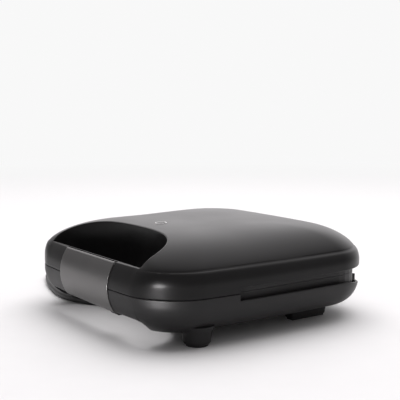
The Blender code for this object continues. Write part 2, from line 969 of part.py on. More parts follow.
def upper_cover():
    """Lid shell with its half of the handle, hinge lugs, lens seat and screw bosses."""
    band = band_rings(0.0)
    band[-1] = [Vector((p.x, p.y, rim_high)) for p in band[-1]]
    dome = [dome_ring(share, 0.0) for share in reversed(dome_shares)]
    cover = loft("upper_cover", dome + band, parts)
    inner_band = band_rings(wall)[1::2]
    low, high = parting_height - 2 * overrun, crease_height + dome_rise + overrun
    sunk = [Vector((p.x, p.y, parting_height - overrun)) for p in inner_band[-1]]
    inner_dome = [dome_ring(share, wall) for share in reversed(dome_shares[1::2])]
    boss_start = parting_height + ledge_drop + ledge_thickness + gap
    bosses = screw_bosses("lid_boss", boss_start, high)
    cut(cover, hollow("upper_space", inner_dome + inner_band + [sunk], low, high, bosses))
    under_dome = crease_height + dome_rise - 2 * wall
    lens_seat = drum(
        "lens_seat",
        (0.0, -lamp_place, under_dome - lens_depth),
        (0.0, -lamp_place, under_dome + wall),
        lens_radius + bezel_width + wall,
        cutters,
        sides=24,
    )
    join(cover, lens_seat)
    opening = flat_solid("upper_opening", opening_outline(0.0), low, high, cutters)
    over = flat_solid("upper_over_handle", opening_over_handle(), handle_top_height, high, cutters)
    step = step_cutter("upper_step", low, upper_lip_height)
    cut(cover, opening, over, step, clip_seat_cutter("upper_clip_seat"))
    lamp_hole = drum(
        "lamp_hole",
        (0.0, -lamp_place, under_dome - 2 * lens_depth),
        (0.0, -lamp_place, high),
        lens_radius + gap,
        cutters,
        sides=24,
    )
    bezel_hole = drum(
        "bezel_hole",
        (0.0, -lamp_place, lens_top() - bezel_depth - gap),
        (0.0, -lamp_place, high),
        lens_radius + 2 * gap + bezel_width,
        cutters,
        sides=24,
    )
    cut(cover, lamp_hole, bezel_hole)
    for number, (x, y) in enumerate(frame_places()):
        cut(
            cover,
            drum(
                f"lid_pilot_{number}",
                (x, y, parting_height),
                (x, y, crease_height - wall),
                screw_shank_radius + gap,
                cutters,
                sides=8,
            ),
        )
    pin_reach = clip_half_width + clip_pin_reach + gap
    cut(cover, drum(
        "clip_pin_hole",
        (-pin_reach, -clip_pivot_place, clip_pivot_height),
        (pin_reach, -clip_pivot_place, clip_pivot_height),
        clip_pin_radius + gap,
        cutters,
        sides=12,
    ))
    lug = hinge_profile(1, lug_top_height, hinge_place + hinge_knuckle_radius - gap, gap)
    for side, mark in ((1, "right"), (-1, "left")):
        span = hinge_spans()[1]
        add_hinge_piece(cover, "lug_" + mark, span, side, lug)
        cut(cover, hinge_bore("lug_bore_" + mark, *mirrored(*span, side)))
    return finish(cover, black_plastic(), True)


def lens_top():
    return dome_height(0.0, -lamp_place)


def frame_outline(inset):
    """Plan of the plates' frame: the housing's rear with a straight front edge."""
    points = []
    radius = rear_corner_radius - inset
    for side in (1, -1):
        cx, cy = side * (half_width - rear_corner_radius), half_depth - rear_corner_radius
        steps = range(corner_steps // 2 * 2 + 1)
        for step in steps if side > 0 else reversed(steps):
            angle = math.radians(90.0 * step / steps[-1])
            points.append(bow(cx + side * radius * math.cos(angle), cy + radius * math.sin(angle)))
    front = -frame_front + inset - frame_inset
    corner = max(frame_corner_radius - (inset - frame_inset), frame_corner_radius / 6)
    for side in (-1, 1):
        across, _ = bow(half_width - inset, front + corner)
        steps = range(5)
        for step in steps if side < 0 else reversed(steps):
            angle = math.radians(90.0 * step / 4)
            points.append((
                side * (across - corner + corner * math.cos(angle)),
                front + corner - corner * math.sin(angle),
            ))
    return points


def level(height, upper):
    """A height measured from the parting plane: down in the base, up in the lid."""
    return parting_height + height if upper else parting_height - height


def slab(name, points, near, far, upper, collection):
    """A flat solid between two distances from the parting plane."""
    low, high = sorted((level(near, upper), level(far, upper)))
    return flat_solid(name, points, low, high, collection)


def upright(name, x, y, near, far, radius, upper, collection, sides=12, far_radius=None):
    """A vertical cylinder between two distances from the parting plane."""
    return drum(
        name,
        (x, y, level(near, upper)),
        (x, y, level(far, upper)),
        radius,
        collection,
        far_radius,
        sides,
    )


def half_name(upper, name):
    return ("upper_" if upper else "lower_") + name


def inner_frame(upper):
    """Ring around the grill plate: an upright wall with a ledge that the plate lies on."""
    name = half_name(upper, "frame")
    frame = slab(name, frame_outline(frame_inset), parting_gap / 2, frame_depth, upper, parts)
    join(frame, frame_deck(name + "_deck", upper))
    above = slab(
        name + "_top",
        frame_outline(frame_inset + frame_wall),
        -overrun,
        ledge_drop,
        upper,
        cutters,
    )
    below_from = ledge_drop + ledge_thickness
    below = slab(
        name + "_under",
        frame_outline(frame_inset + frame_wall),
        below_from,
        frame_depth + overrun,
        upper,
        cutters,
    )
    middle = slab(
        name + "_middle",
        frame_outline(ledge_inset),
        -overrun,
        frame_depth + overrun,
        upper,
        cutters,
    )
    cut(frame, above, below, middle)
    hole, reach = lead_hole(upper), Vector((0.0, overrun, 0.0))
    cut(
        frame,
        drum(name + "_lead_hole", hole - reach, hole + reach, wire_radius + 3 * gap, cutters, sides=10),
    )
    for number, (x, y) in enumerate(frame_places()):
        bore = screw_shank_radius + gap
        cut(frame, upright(f"{name}_bore_{number}", x, y, 0.0, frame_depth, bore, upper, cutters))
        if upper:
            sink_to = ledge_drop + ledge_thickness - gap
            sink = screw_head_radius + gap
            cut(
                frame,
                upright(
                    f"{name}_sink_{number}",
                    x,
                    y,
                    ledge_drop - gap,
                    sink_to,
                    sink,
                    upper,
                    cutters,
                    far_radius=bore,
                ),
            )
    return finish(frame, frame_plastic())


def frame_deck(name, upper):
    """Flat deck from the frame's front to the walls of the hand opening and of the corners."""
    low, high = sorted((level(-overrun, upper), level(deck_thickness + overrun, upper)))
    deck = slab(name, outline(deck_inset), parting_gap / 2, deck_thickness, upper, cutters)
    reach = opening_half_width + opening_wall + gap
    far = half_width + overrun
    tunnel = flat_solid(name + "_tunnel", opening_outline(opening_wall + gap), low, high, cutters)
    front, back = -half_depth - overrun, half_depth + overrun
    core = block(name + "_core", (-reach, front, low), (reach, gap - opening_front, high), cutters)
    rear = block(name + "_rear", (-far, frame_wall / 2 - frame_front, low), (far, back, high), cutters)
    cut(deck, tunnel, core, rear)
    return deck


def plate_levels():
    """Distances of the plate's rim, floor face and back from the parting plane."""
    rim = plate_gap
    floor_face = plate_floor_drop
    return rim, floor_face, floor_face + plate_floor


def ribs(name, top, root):
    """One rib, repeated across the plate."""
    low, high = sorted((top, root))
    first = -(rib_count - 1) / 2 * rib_pitch
    front = plate_rim + rib_front_gap + plate_inset - frame_inset - frame_front
    rear = half_depth - plate_inset - plate_rim - rib_rear_gap
    rib = block(name, (first - rib_width / 2, front, low), (first + rib_width / 2, rear, high), cutters)
    row = rib.modifiers.new("row", "ARRAY")
    row.count = rib_count
    row.use_relative_offset = False
    row.use_constant_offset = True
    row.constant_offset_displace = (rib_pitch, 0.0, 0.0)
    return rib


def grill_plate(upper):
    """Cast plate: a rim round a ribbed floor, with two bosses on its back."""
    name = half_name(upper, "grill_plate")
    rim, face, back = plate_levels()
    plate = slab(name, frame_outline(plate_inset), rim, back, upper, parts)
    hollow_out = slab(name + "_tray", frame_outline(plate_inset + plate_rim), -overrun, face, upper, cutters)
    cut(plate, hollow_out)
    join(plate, ribs(name + "_ribs", level(face - rib_height, upper), level(face + plate_floor / 2, upper)))
    for side, mark in ((1, "right"), (-1, "left")):
        x = side * boss_offset
        start = back - plate_floor / 2
        join(
            plate,
            upright(
                f"{name}_boss_{mark}",
                x,
                plate_middle,
                start,
                back + boss_length,
                boss_radius,
                upper,
                cutters,
                sides=16,
            ),
        )
    for side, mark in ((1, "right"), (-1, "left")):
        x = side * boss_offset
        start = back + boss_length - plate_screw_reach - gap
        bore = screw_shank_radius + gap
        cut(
            plate,
            upright(
                f"{name}_pilot_{mark}",
                x,
                plate_middle,
                start,
                back + boss_length + overrun,
                bore,
                upper,
                cutters,
                sides=8,
            ),
        )
    return finish(plate, coated_aluminium())


def heater_path(upper):
    """Open loop under the plate whose two ends turn away from it."""
    _, _, back = plate_levels()
    run = back + gap + heater_radius
    centre_z = level(run, upper)
    corners = (
        (heater_half_span, heater_back, 0.0),
        (heater_half_span, -heater_front, -90.0),
        (-heater_half_span, -heater_front, 180.0),
        (-heater_half_span, heater_back, 90.0),
    )
    path = []
    tail = 1.0 if upper else -1.0
    for side in (1, -1):
        stretch = []
        x = side * heater_end_offset
        for step in range(4):
            angle = math.radians(90.0 * step / 3)
            stretch.append((
                x + side * heater_bend * (1.0 - math.cos(angle)),
                heater_back,
                centre_z + tail * heater_bend * (1.0 - math.sin(angle)),
            ))
        stretch.insert(0, (x, heater_back, centre_z + tail * (heater_bend + heater_tail)))
        path.append(stretch)
    loop = []
    for cx, cy, first in corners:
        inner_x = math.copysign(abs(cx) - heater_corner, cx)
        inner_y = cy - heater_corner if cy == heater_back else cy + heater_corner
        for step in range(5):
            angle = math.radians(first + 90.0 - 90.0 * step / 4)
            loop.append((
                inner_x + heater_corner * math.cos(angle),
                inner_y + heater_corner * math.sin(angle),
                centre_z,
            ))
    right, left = path
    return right + loop + left[::-1]


def heater(upper):
    """Tubular heating element against the plate's back."""
    item = tube(half_name(upper, "heater"), heater_path(upper), heater_radius, parts)
    return finish(item, heater_steel(), True)


def heater_clamp(upper):
    """Bar that holds the heating element to the plate's bosses."""
    name = half_name(upper, "heater_clamp")
    _, _, back = plate_levels()
    near = back + boss_length + gap
    far = near + clamp_thickness
    low, high = sorted((level(near, upper), level(far, upper)))
    half = clamp_length / 2
    bar = block(
        name,
        (-half, plate_middle - clamp_width / 2, low),
        (half, plate_middle + clamp_width / 2, high),
        parts,
    )
    for side, mark in ((1, "right"), (-1, "left")):
        bore = screw_shank_radius + gap
        cut(
            bar,
            upright(
                f"{name}_bore_{mark}",
                side * boss_offset,
                plate_middle,
                near - overrun / 2,
                far + overrun / 2,
                bore,
                upper,
                cutters,
                sides=8,
            ),
        )
    return finish(bar, sheet_steel())


def clamp_far():
    _, _, back = plate_levels()
    return back + boss_length + gap + clamp_thickness


def pan_outline(grow):
    """Rounded rectangle of the reflector."""
    points = []
    radius = pan_corner + grow
    for cx, cy, quarter in (
        (pan_half_width - pan_corner, pan_back - pan_corner, 0),
        (pan_corner - pan_half_width, pan_back - pan_corner, 1),
        (pan_corner - pan_half_width, pan_corner - pan_front, 2),
        (pan_half_width - pan_corner, pan_corner - pan_front, 3),
    ):
        for step in range(5):
            angle = math.radians(90.0 * (quarter + step / 4))
            points.append((cx + radius * math.cos(angle), cy + radius * math.sin(angle)))
    return points


def reflector(upper):
    """Thin pan behind the heating element, its flange under the frame's ledge."""
    name = half_name(upper, "reflector")
    flange_near = ledge_drop + ledge_thickness + gap
    bottom_far = clamp_far() + gap + pan_sheet
    pan = slab(name, pan_outline(pan_flange), flange_near, flange_near + pan_sheet, upper, parts)
    join(
        pan,
        slab(name + "_dish", pan_outline(0.0), flange_near + pan_sheet / 2, bottom_far, upper, cutters),
    )
    inside = slab(
        name + "_inside",
        pan_outline(-pan_sheet),
        flange_near - overrun,
        bottom_far - pan_sheet,
        upper,
        cutters,
    )
    cut(pan, inside)
    for side, mark in ((1, "right"), (-1, "left")):
        bore = screw_shank_radius + gap
        near, far = bottom_far - 2 * pan_sheet, bottom_far + pan_sheet
        cut(
            pan,
            upright(
                f"{name}_bore_{mark}",
                side * boss_offset,
                plate_middle,
                near,
                far,
                bore,
                upper,
                cutters,
                sides=8,
            ),
        )
        cut(
            pan,
            upright(
                f"{name}_port_{mark}",
                side * heater_end_offset,
                heater_back,
                near,
                far,
                pan_hole_radius,
                upper,
                cutters,
                sides=12,
            ),
        )
    return finish(pan, sheet_steel())


def plate_screw(upper, side):
    """Pan-head screw through reflector and clamp into the plate's boss."""
    mark = "right" if side > 0 else "left"
    name = half_name(upper, "plate_screw_" + mark)
    _, _, back = plate_levels()
    x = side * boss_offset
    under = clamp_far() + 2 * gap + pan_sheet
    tip = back + boss_length - plate_screw_reach
    screw = upright(
        name,
        x,
        plate_middle,
        tip,
        under + screw_head_height / 2,
        screw_shank_radius,
        upper,
        parts,
        sides=10,
    )
    head = upright(
        name + "_head",
        x,
        plate_middle,
        under,
        under + screw_head_height,
        screw_head_radius,
        upper,
        cutters,
        sides=12,
    )
    join(screw, head)
    return finish(screw, sheet_steel())


def base_screw(number, x, y):
    """Screw from under the base, through its boss into the frame's ledge."""
    name = f"base_screw_{number + 1}"
    top = parting_height - ledge_drop - gap
    head_top = screw_seat_height - gap
    screw = drum(
        name,
        (x, y, head_top - screw_head_height / 2),
        (x, y, top),
        screw_shank_radius,
        parts,
        sides=10,
    )
    head = drum(
        name + "_head",
        (x, y, head_top - screw_head_height),
        (x, y, head_top),
        screw_head_radius,
        cutters,
        sides=12,
    )
    join(screw, head)
    return finish(screw, sheet_steel())


def lid_screw(number, x, y):
    """Countersunk screw through the upper frame's ledge into the lid's boss."""
    name = f"lid_screw_{number + 1}"
    face = ledge_drop + gap / 2
    neck = ledge_drop + ledge_thickness - 2 * gap
    screw = upright(
        name,
        x,
        y,
        face,
        neck,
        screw_head_radius - gap,
        True,
        parts,
        far_radius=screw_shank_radius,
    )
    shank = upright(
        name + "_shank",
        x,
        y,
        neck - gap,
        crease_height - parting_height - 2 * wall,
        screw_shank_radius,
        True,
        cutters,
        sides=12,
    )
    join(screw, shank)
    return finish(screw, sheet_steel())


def foot_pad(mark, side, rear):
    """Rubber pad under a foot."""
    name = "foot_pad_" + mark
    if not rear:
        place = (side * front_foot_offset, -front_foot_back)
        pad = drum(
            name,
            (*place, 0.0),
            (*place, foot_height - gap),
            front_foot_radius - pad_inset,
            parts,
            sides=20,
        )
    else:
        half = (rear_foot_width / 2 - pad_inset, rear_foot_length / 2 - pad_inset)
        x, y = side * rear_foot_offset, rear_foot_middle
        pad = block(
            name,
            (x - half[0], y - half[1], 0.0),
            (x + half[0], y + half[1], foot_height - gap),
            parts,
        )
    return finish(pad, foot_rubber())


def hinge_pin(side):
    """Steel pin through one set of knuckles."""
    first, _, third = hinge_spans()
    low, high = mirrored(first[0] - hinge_pin_tail, third[1] + hinge_pin_tail, side)
    name = "hinge_pin_right" if side > 0 else "hinge_pin_left"
    pin = drum(
        name,
        (low, hinge_place, hinge_height),
        (high, hinge_place, hinge_height),
        hinge_pin_radius,
        parts,
        sides=12,
    )
    return finish(pin, sheet_steel(), True)


def latch_clip():
    """Swing clip: a round-fronted sleeve over both handle halves, rolled round its pin."""
    pivot_y, pivot_z = -clip_pivot_place, clip_pivot_height
    outer, inner = front_radius, front_radius - clip_thickness
    roll = clip_roll_radius
    top = math.asin((pivot_z - parting_height) / outer)
    bottom = math.asin((clip_bottom_height - parting_height) / outer)
    points = []
    for step in range(7):
        angle = math.radians(-90.0 + 270.0 * step / 6)
        points.append((pivot_y + roll * math.cos(angle), pivot_z + roll * math.sin(angle)))
    for step in range(1, clip_arc_steps + 1):
        angle = top + (bottom - top) * step / clip_arc_steps
        points.append((handle_mid - outer * math.cos(angle), parting_height + outer * math.sin(angle)))
    inner_top = math.asin((pivot_z - roll - parting_height) / inner)
    for step in range(clip_arc_steps):
        angle = bottom + (inner_top - bottom) * step / clip_arc_steps
        points.append((handle_mid - inner * math.cos(angle), parting_height + inner * math.sin(angle)))
    clip = flat_solid("latch_clip", points, -clip_half_width, clip_half_width, parts, axis="X")
    reach = clip_half_width + overrun
    cut(
        clip,
        drum(
            "clip_bore",
            (-reach, pivot_y, pivot_z),
            (reach, pivot_y, pivot_z),
            clip_pin_radius + gap,
            cutters,
            sides=12,
        ),
    )
    return finish(clip, clip_plastic(), True)


def latch_pin():
    """Pin that the clip swings on, held in the handle at both ends."""
    reach = clip_half_width + clip_pin_reach
    pin = drum(
        "latch_pin",
        (-reach, -clip_pivot_place, clip_pivot_height),
        (reach, -clip_pivot_place, clip_pivot_height),
        clip_pin_radius,
        parts,
        sides=12,
    )
    return finish(pin, sheet_steel(), True)


def indicator():
    """Flush lens with a thin light ring and the lamp under it."""
    top = lens_top() + lens_stand
    lens = drum(
        "indicator_lens",
        (0.0, -lamp_place, top - lens_depth),
        (0.0, -lamp_place, top),
        lens_radius,
        parts,
        sides=24,
    )
    finish(lens, black_plastic(), True)
    bezel = drum(
        "indicator_ring",
        (0.0, -lamp_place, top - bezel_depth),
        (0.0, -lamp_place, top),
        lens_radius + gap + bezel_width,
        parts,
        sides=24,
    )
    cut(
        bezel,
        drum(
            "ring_bore",
            (0.0, -lamp_place, top - 2 * bezel_depth),
            (0.0, -lamp_place, top + bezel_depth),
            lens_radius + gap,
            cutters,
            sides=24,
        ),
    )
    finish(bezel, white_print(), True)
    lamp_top = top - lens_depth - gap
    lamp = drum(
        "indicator_lamp",
        (0.0, -lamp_place, lamp_top - lamp_length),
        (0.0, -lamp_place, lamp_top),
        lamp_radius,
        parts,
        sides=12,
    )
    finish(lamp, lamp_glass(), True)


def thermostat():
    """Disc thermostat against the back of the upper plate."""
    _, _, back = plate_levels()
    near = back + gap
    middle = near + thermostat_height * thermostat_cap_share
    body = upright(
        "thermostat",
        0.0,
        thermostat_back,
        near,
        middle,
        thermostat_radius,
        True,
        parts,
        sides=20,
    )
    cap = upright(
        "thermostat_cap",
        0.0,
        thermostat_back,
        middle - gap,
        near + thermostat_height,
        thermostat_cap_radius,
        True,
        cutters,
        sides=16,
    )
    join(body, cap)
    return finish(body, block_ceramic(), True)


def thermal_fuse():
    """Thermal fuse lying against the back of the lower plate."""
    _, _, back = plate_levels()
    height = level(back + gap + fuse_radius, False)
    half = fuse_length / 2
    fuse = drum(
        "thermal_fuse",
        (-half, thermostat_back, height),
        (half, thermostat_back, height),
        fuse_radius,
        parts,
        sides=12,
    )
    return finish(fuse, brass_metal(), True)


def terminal_block():
    """Block on the base's floor where the cord's leads end."""
    floor = bowl_bottom_height + wall + gap
    low = (-cord_offset - block_width / 2, block_back - block_length, floor)
    high = (-cord_offset + block_width / 2, block_back, floor + block_height)
    return finish(block("terminal_block", low, high, parts), block_ceramic())


def lead(name, route):
    """One insulated lead along a smooth route."""
    item = tube(name, smooth_route(route, lead_point_spacing), wire_radius, parts, resolution=1)
    return finish(item, cord_rubber(), True)


def block_exit(number):
    """Where a lead leaves the terminal block's side."""
    y = block_back - block_length + block_length * (2 * number + 1) / 6
    height = bowl_bottom_height + wall + gap + block_height / 2
    return Vector((-cord_offset + block_width / 2 + gap, y, height))


def heater_end(side, upper):
    """Middle of a heating element's end face, a gap off it."""
    _, _, back = plate_levels()
    away = back + heater_radius + heater_bend + heater_tail + 3 * gap
    return Vector((side * heater_end_offset, heater_back, level(away, upper)))


def base_leads():
    """Two leads from the terminal block to the lower heating element's ends."""
    for number, side in ((1, -1), (0, 1)):
        start, end = block_exit(number), heater_end(side, False)
        run = Vector((wire_radius * 3, 0.0, 0.0))
        below = end - Vector((0.0, 0.0, lead_bend))
        middle = start.lerp(below, base_lead_share)
        middle.y = start.y
        middle.z = below.z
        lead(
            f"base_lead_{number + 1}",
            [start, start + run, middle, below - run / 2, end - (end - below) / 3, end],
        )


def hinge_leads():
    """A lead in two halves that meet on the hinge axis, one in each shell."""
    across = Vector((lead_run, 0.0, 0.0))
    meet = Vector((-lead_meet, hinge_place, hinge_height))
    for upper, way in ((False, -1), (True, 1)):
        start = meet + Vector((way * gap / 2, 0.0, 0.0))
        hole = lead_hole(upper)
        inside = hole - Vector((0.0, 2 * frame_wall + 2 * wire_radius, 0.0))
        turn = Vector((hole.x, hinge_place, hole.z + (lead_bend / 2 if not upper else -lead_bend / 2)))
        route = [
            start,
            start + way * across / 2,
            Vector((hole.x - way * lead_bend / 4, turn.y, (turn.z + hinge_height) / 2)),
            turn,
            hole,
            inside,
        ]
        if upper:
            end = heater_end(-1, True)
            over = end + Vector((0.0, lead_bend, lead_bend / 2))
            route += [inside.lerp(over, 0.5), over, end + Vector((0.0, 0.0, lead_bend / 2)), end]
        else:
            end = block_exit(2)
            side = Vector((lead_bend, 0.0, 0.0))
            route += [inside.lerp(end + side, 0.5), end + side, end + side / 2, end]
        lead("lid_hinge_lead" if upper else "base_hinge_lead", route)


def lead_hole(upper):
    """Middle of the hole that lets a lead through the frame's rear wall."""
    way = 1 if upper else -1
    height = level(ledge_drop + ledge_thickness + 2 * wire_radius, upper)
    return Vector((-lead_meet + way * lead_run, frame_back - frame_wall / 2, height))


def lamp_lead():
    """Lead over the upper reflector to the lamp."""
    start = heater_end(1, True)
    end = Vector((0.0, -lamp_place, lens_top() + lens_stand - lens_depth - gap - lamp_length - gap))
    rise, drop = Vector((0.0, 0.0, lead_bend / 2)), Vector((0.0, 0.0, lead_bend / 3))
    near, middle, far = (start.lerp(end, share) for share in lamp_lead_shares)
    route = [start, start + rise, near + rise / 2, middle, far - drop, end - drop, end]
    lead("lamp_lead", route)


def strain_relief():
    """Moulded gland: a neck in the base's wall, a collar and a ringed taper."""
    face = half_depth - gland_boss_inset + gap
    profile = [
        (0.0, gland_length + gland_collar_length),
        (gland_tip_radius, gland_length + gland_collar_length),
    ]
    for number in range(gland_rings):
        share = number / gland_rings
        radius = gland_tip_radius + (gland_root_radius - gland_tip_radius) * share
        top = gland_collar_length + gland_length * (1.0 - share)
        pitch = gland_length / gland_rings
        if number:
            profile.append((radius, top))
        ring_end, groove_start, groove_end = (top - pitch * part for part in gland_ring_shares)
        profile.append((radius, ring_end))
        profile.append((radius - gland_groove, groove_start))
        profile.append((radius - gland_groove, groove_end))
    profile += [
        (gland_root_radius, gland_collar_length),
        (gland_collar_radius, gland_collar_length),
        (gland_collar_radius, 0.0),
        (gland_neck_radius, 0.0),
        (gland_neck_radius, -gland_neck_length),
        (0.0, -gland_neck_length),
    ]
    place = (-cord_offset, face, cord_height)
    relief = turned("strain_relief", profile, place, (0.0, 1.0, 0.0), parts, sides=12)
    return finish(relief, cord_rubber(), True)


def inner_cord():
    """The cord's end inside the base, from the gland to the terminal block."""
    start = half_depth - gland_boss_inset + gap - gland_neck_length - gap
    end = block_back + gap
    height = bowl_bottom_height + wall + gap + block_height - cord_radius
    route = []
    for step in range(6):
        share = step / 5
        route.append((
            -cord_offset,
            start + (end - start) * share,
            cord_height + (height - cord_height) * ease(share),
        ))
    return finish(tube("inner_cord", route, cord_radius, parts), cord_rubber(), True)


def smooth_route(points, spacing):
    """Even points along a Catmull-Rom curve through points."""
    p = np.array(points)
    p = np.vstack([2 * p[0] - p[1], p, 2 * p[-1] - p[-2]])
    fine = []
    for a, b, c, d in zip(p, p[1:], p[2:], p[3:]):
        for t in np.linspace(0.0, 1.0, 12, endpoint=False):
            straight = 2 * b + (c - a) * t
            bent = (2 * a - 5 * b + 4 * c - d) * t**2 + (3 * b - a - 3 * c + d) * t**3
            fine.append(0.5 * (straight + bent))
    fine = np.array(fine + [p[-2]])
    along = np.concatenate([[0.0], np.cumsum(np.linalg.norm(np.diff(fine, axis=0), axis=1))])
    count = max(2, round(along[-1] / spacing)) + 1
    at = np.linspace(0.0, along[-1], count)
    return [tuple(np.interp(s, along, fine[:, k]) for k in range(3)) for s in at]


def coil_path(points_a_turn):
    """Clockwise coil: in along the table, up a layer in the middle half turn, then out."""
    half = coil_turns / 2
    total = round(coil_turns * points_a_turn)
    path = []
    straight = 2 * cord_radius
    for number in range(total + 1):
        turn = number / points_a_turn
        radius = coil_outer_radius - coil_pitch * (turn if turn < half else coil_turns - turn)
        layer = ease((turn - (half - 0.25)) / 0.5)
        angle = math.pi - 2 * math.pi * turn
        away = math.remainder(angle - math.radians(tie_angle), 2 * math.pi)
        lift = tie_lift * math.exp(-((away / tie_spread) ** 2))
        path.append((
            coil_centre[0] + radius * math.cos(angle),
            coil_centre[1] + radius * math.sin(angle),
            cord_radius + coil_pitch * layer + lift,
        ))
    start, end = path[0], path[-1]
    path.insert(0, (start[0], start[1] - straight, start[2]))
    path.append((end[0], end[1] + straight, end[2]))
    return path


def least_gap(path):
    """The least gap of a wound tube to itself, on points that aren't neighbours."""
    p = np.array(path)
    fine = np.vstack([p[:-1] * (1 - t) + p[1:] * t for t in (0.0, 0.5)])
    order = np.concatenate([np.arange(len(p) - 1) + t for t in (0.0, 0.5)])
    apart = np.linalg.norm(fine[:, None] - fine[None, :], axis=2)
    far = np.abs(order[:, None] - order[None, :]) > coil_points / 3
    return float(apart[far].min() - 2 * cord_radius)


def cord():
    """Mains cord: from the gland under the base to a tied coil beside it, and its plug."""
    start = (
        cord_route[0][0],
        half_depth - gland_boss_inset + gland_collar_length + gland_length + 2 * gap,
        cord_height,
    )
    coil = coil_path(coil_points)
    first = coil[0]
    end = (first[0], first[1] - gap, first[2])
    out = (start[0], start[1] + 2 * cord_radius, start[2])
    route = [start] + smooth_route([out] + list(cord_route) + [end], cord_point_spacing)
    run = tube("cord_run", route, cord_radius, parts)
    finish(run, cord_rubber(), True)
    wound = tube("cord_coil", coil, cord_radius, parts, resolution=1)
    finish(wound, cord_rubber(), True)
    print(f"cord coil: least gap to itself {least_gap(coil) * 1000:.2f} mm")
    last = coil[-1]
    plug_axis = plug_height / 2
    tail_start = (last[0], last[1] + gap, last[2])
    tail_end = (last[0], last[1] + plug_cord_run, plug_axis)
    tail = []
    for step in range(5):
        share = step / 4
        tail.append(tuple(
            a + (b - a) * (ease(share) if k == 2 else share)
            for k, (a, b) in enumerate(zip(tail_start, tail_end))
        ))
    finish(tube("cord_tail", tail, cord_radius, parts), cord_rubber(), True)
    plug(tail_end[0], tail_end[1] + gap, plug_axis)
    cord_tie()


def plug(x, y, z):
    """Moulded plug with a ringed neck and two flat blades, lying on the table."""
    neck_profile = [
        (0.0, plug_neck_length),
        (plug_neck_radius * plug_neck_shares[0], plug_neck_length),
        (plug_neck_radius * plug_neck_shares[1], plug_neck_length / 2),
        (plug_neck_radius, 0.0),
        (0.0, 0.0),
    ]
    body = block("plug_body", (x - plug_width / 2, y + plug_neck_length - overrun, z - plug_height / 2),
                 (
                     x + plug_width / 2,
                     y + plug_neck_length + plug_length - overrun,
                     z + plug_height / 2,
                 ), parts)
    rounding = body.modifiers.new("rounding", "BEVEL")
    rounding.width = plug_height / 5
    rounding.segments = 2
    join(body, turned("plug_neck", neck_profile, (x, y, z), (0.0, 1.0, 0.0), cutters))
    finish(body, cord_rubber(), True)
    face = y + plug_neck_length + plug_length - overrun + gap
    for side, mark in ((-1, "left"), (1, "right")):
        middle = x + side * blade_spacing / 2
        blade = block("plug_blade_" + mark, (middle - blade_thickness / 2, face, z - blade_width / 2),
                      (middle + blade_thickness / 2, face + blade_length, z + blade_width / 2), parts)
        finish(blade, brass_metal())


def cord_tie():
    """Flat tie round the coil's turns."""
    angle = math.radians(tie_angle)
    middle = coil_outer_radius - coil_pitch * coil_turns / 4
    curving = tie_width**2 / (4 * middle)
    inner, outer = middle - cord_radius - curving - gap, middle + cord_radius + gap
    low = tie_thickness + gap / 2
    high = 2 * cord_radius + coil_pitch + tie_lift + gap
    corners = [(inner, low), (outer, low), (outer, high), (inner, high)]

    def rings(grow):
        pair = []
        for side in (-1, 1):
            ring = []
            for (reach, height), (sr, sz) in zip(corners, ((-1, -1), (1, -1), (1, 1), (-1, 1))):
                r, z = reach + sr * grow, height + sz * grow
                ring.append(Vector((
                    coil_centre[0] + r * math.cos(angle) - side * tie_width / 2 * math.sin(angle),
                    coil_centre[1] + r * math.sin(angle) + side * tie_width / 2 * math.cos(angle),
                    max(z, 0.0),
                )))
            pair.append(ring)
        return pair
    tie = loft("cord_tie", rings(tie_thickness), parts)
    hole = rings(0.0)
    for ring, way in zip(hole, (-1, 1)):
        for point in ring:
            point.x -= way * overrun * math.sin(angle)
            point.y += way * overrun * math.cos(angle)
    cut(tie, loft("tie_hole", hole, cutters))
    return finish(tie, cord_rubber())


def build():
    lower_cover()
    upper_cover()
    for upper in (False, True):
        inner_frame(upper)
        grill_plate(upper)
        heater(upper)
        heater_clamp(upper)
        reflector(upper)
        for side in (-1, 1):
            plate_screw(upper, side)
    for number, (x, y) in enumerate(frame_places()):
        base_screw(number, x, y)
        lid_screw(number, x, y)
    for side, mark in ((-1, "left"), (1, "right")):
        foot_pad("front_" + mark, side, False)
        foot_pad("rear_" + mark, side, True)
        hinge_pin(side)
    latch_clip()
    latch_pin()
    indicator()
    thermostat()
    thermal_fuse()
    terminal_block()
    base_leads()
    hinge_leads()
    lamp_lead()
    strain_relief()
    inner_cord()
    cord()


build()
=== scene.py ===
import math

import bmesh
import bpy
import numpy as np
from mathutils import Matrix, Vector


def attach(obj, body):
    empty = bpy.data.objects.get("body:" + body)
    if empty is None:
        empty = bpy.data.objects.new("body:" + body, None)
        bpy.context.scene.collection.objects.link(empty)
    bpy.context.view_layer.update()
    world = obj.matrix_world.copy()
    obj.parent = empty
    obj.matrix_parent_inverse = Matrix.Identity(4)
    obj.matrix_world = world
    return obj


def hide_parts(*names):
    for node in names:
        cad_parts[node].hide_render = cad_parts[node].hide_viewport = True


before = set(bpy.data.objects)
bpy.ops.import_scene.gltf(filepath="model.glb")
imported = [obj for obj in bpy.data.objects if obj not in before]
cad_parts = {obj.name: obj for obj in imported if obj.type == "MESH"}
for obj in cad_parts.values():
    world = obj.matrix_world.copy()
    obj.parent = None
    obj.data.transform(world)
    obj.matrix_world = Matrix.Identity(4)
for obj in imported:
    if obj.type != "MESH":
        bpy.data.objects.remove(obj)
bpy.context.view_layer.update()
print("frame loaded")

# Lengths in this script are millimetres, turned into metres where meshes are made.
metre = 0.001

# The camera stands where the photo's perspective puts it.
view = {
    "place": (627.1, -436.4, 190.7),
    "forward": (-0.81512, 0.56742, -0.11664),
    "lens": 75.2,
}


def addObject(name, data):
    # An object with its data, linked to the scene.
    item = bpy.data.objects.new(name, data)
    bpy.context.scene.collection.objects.link(item)
    return item


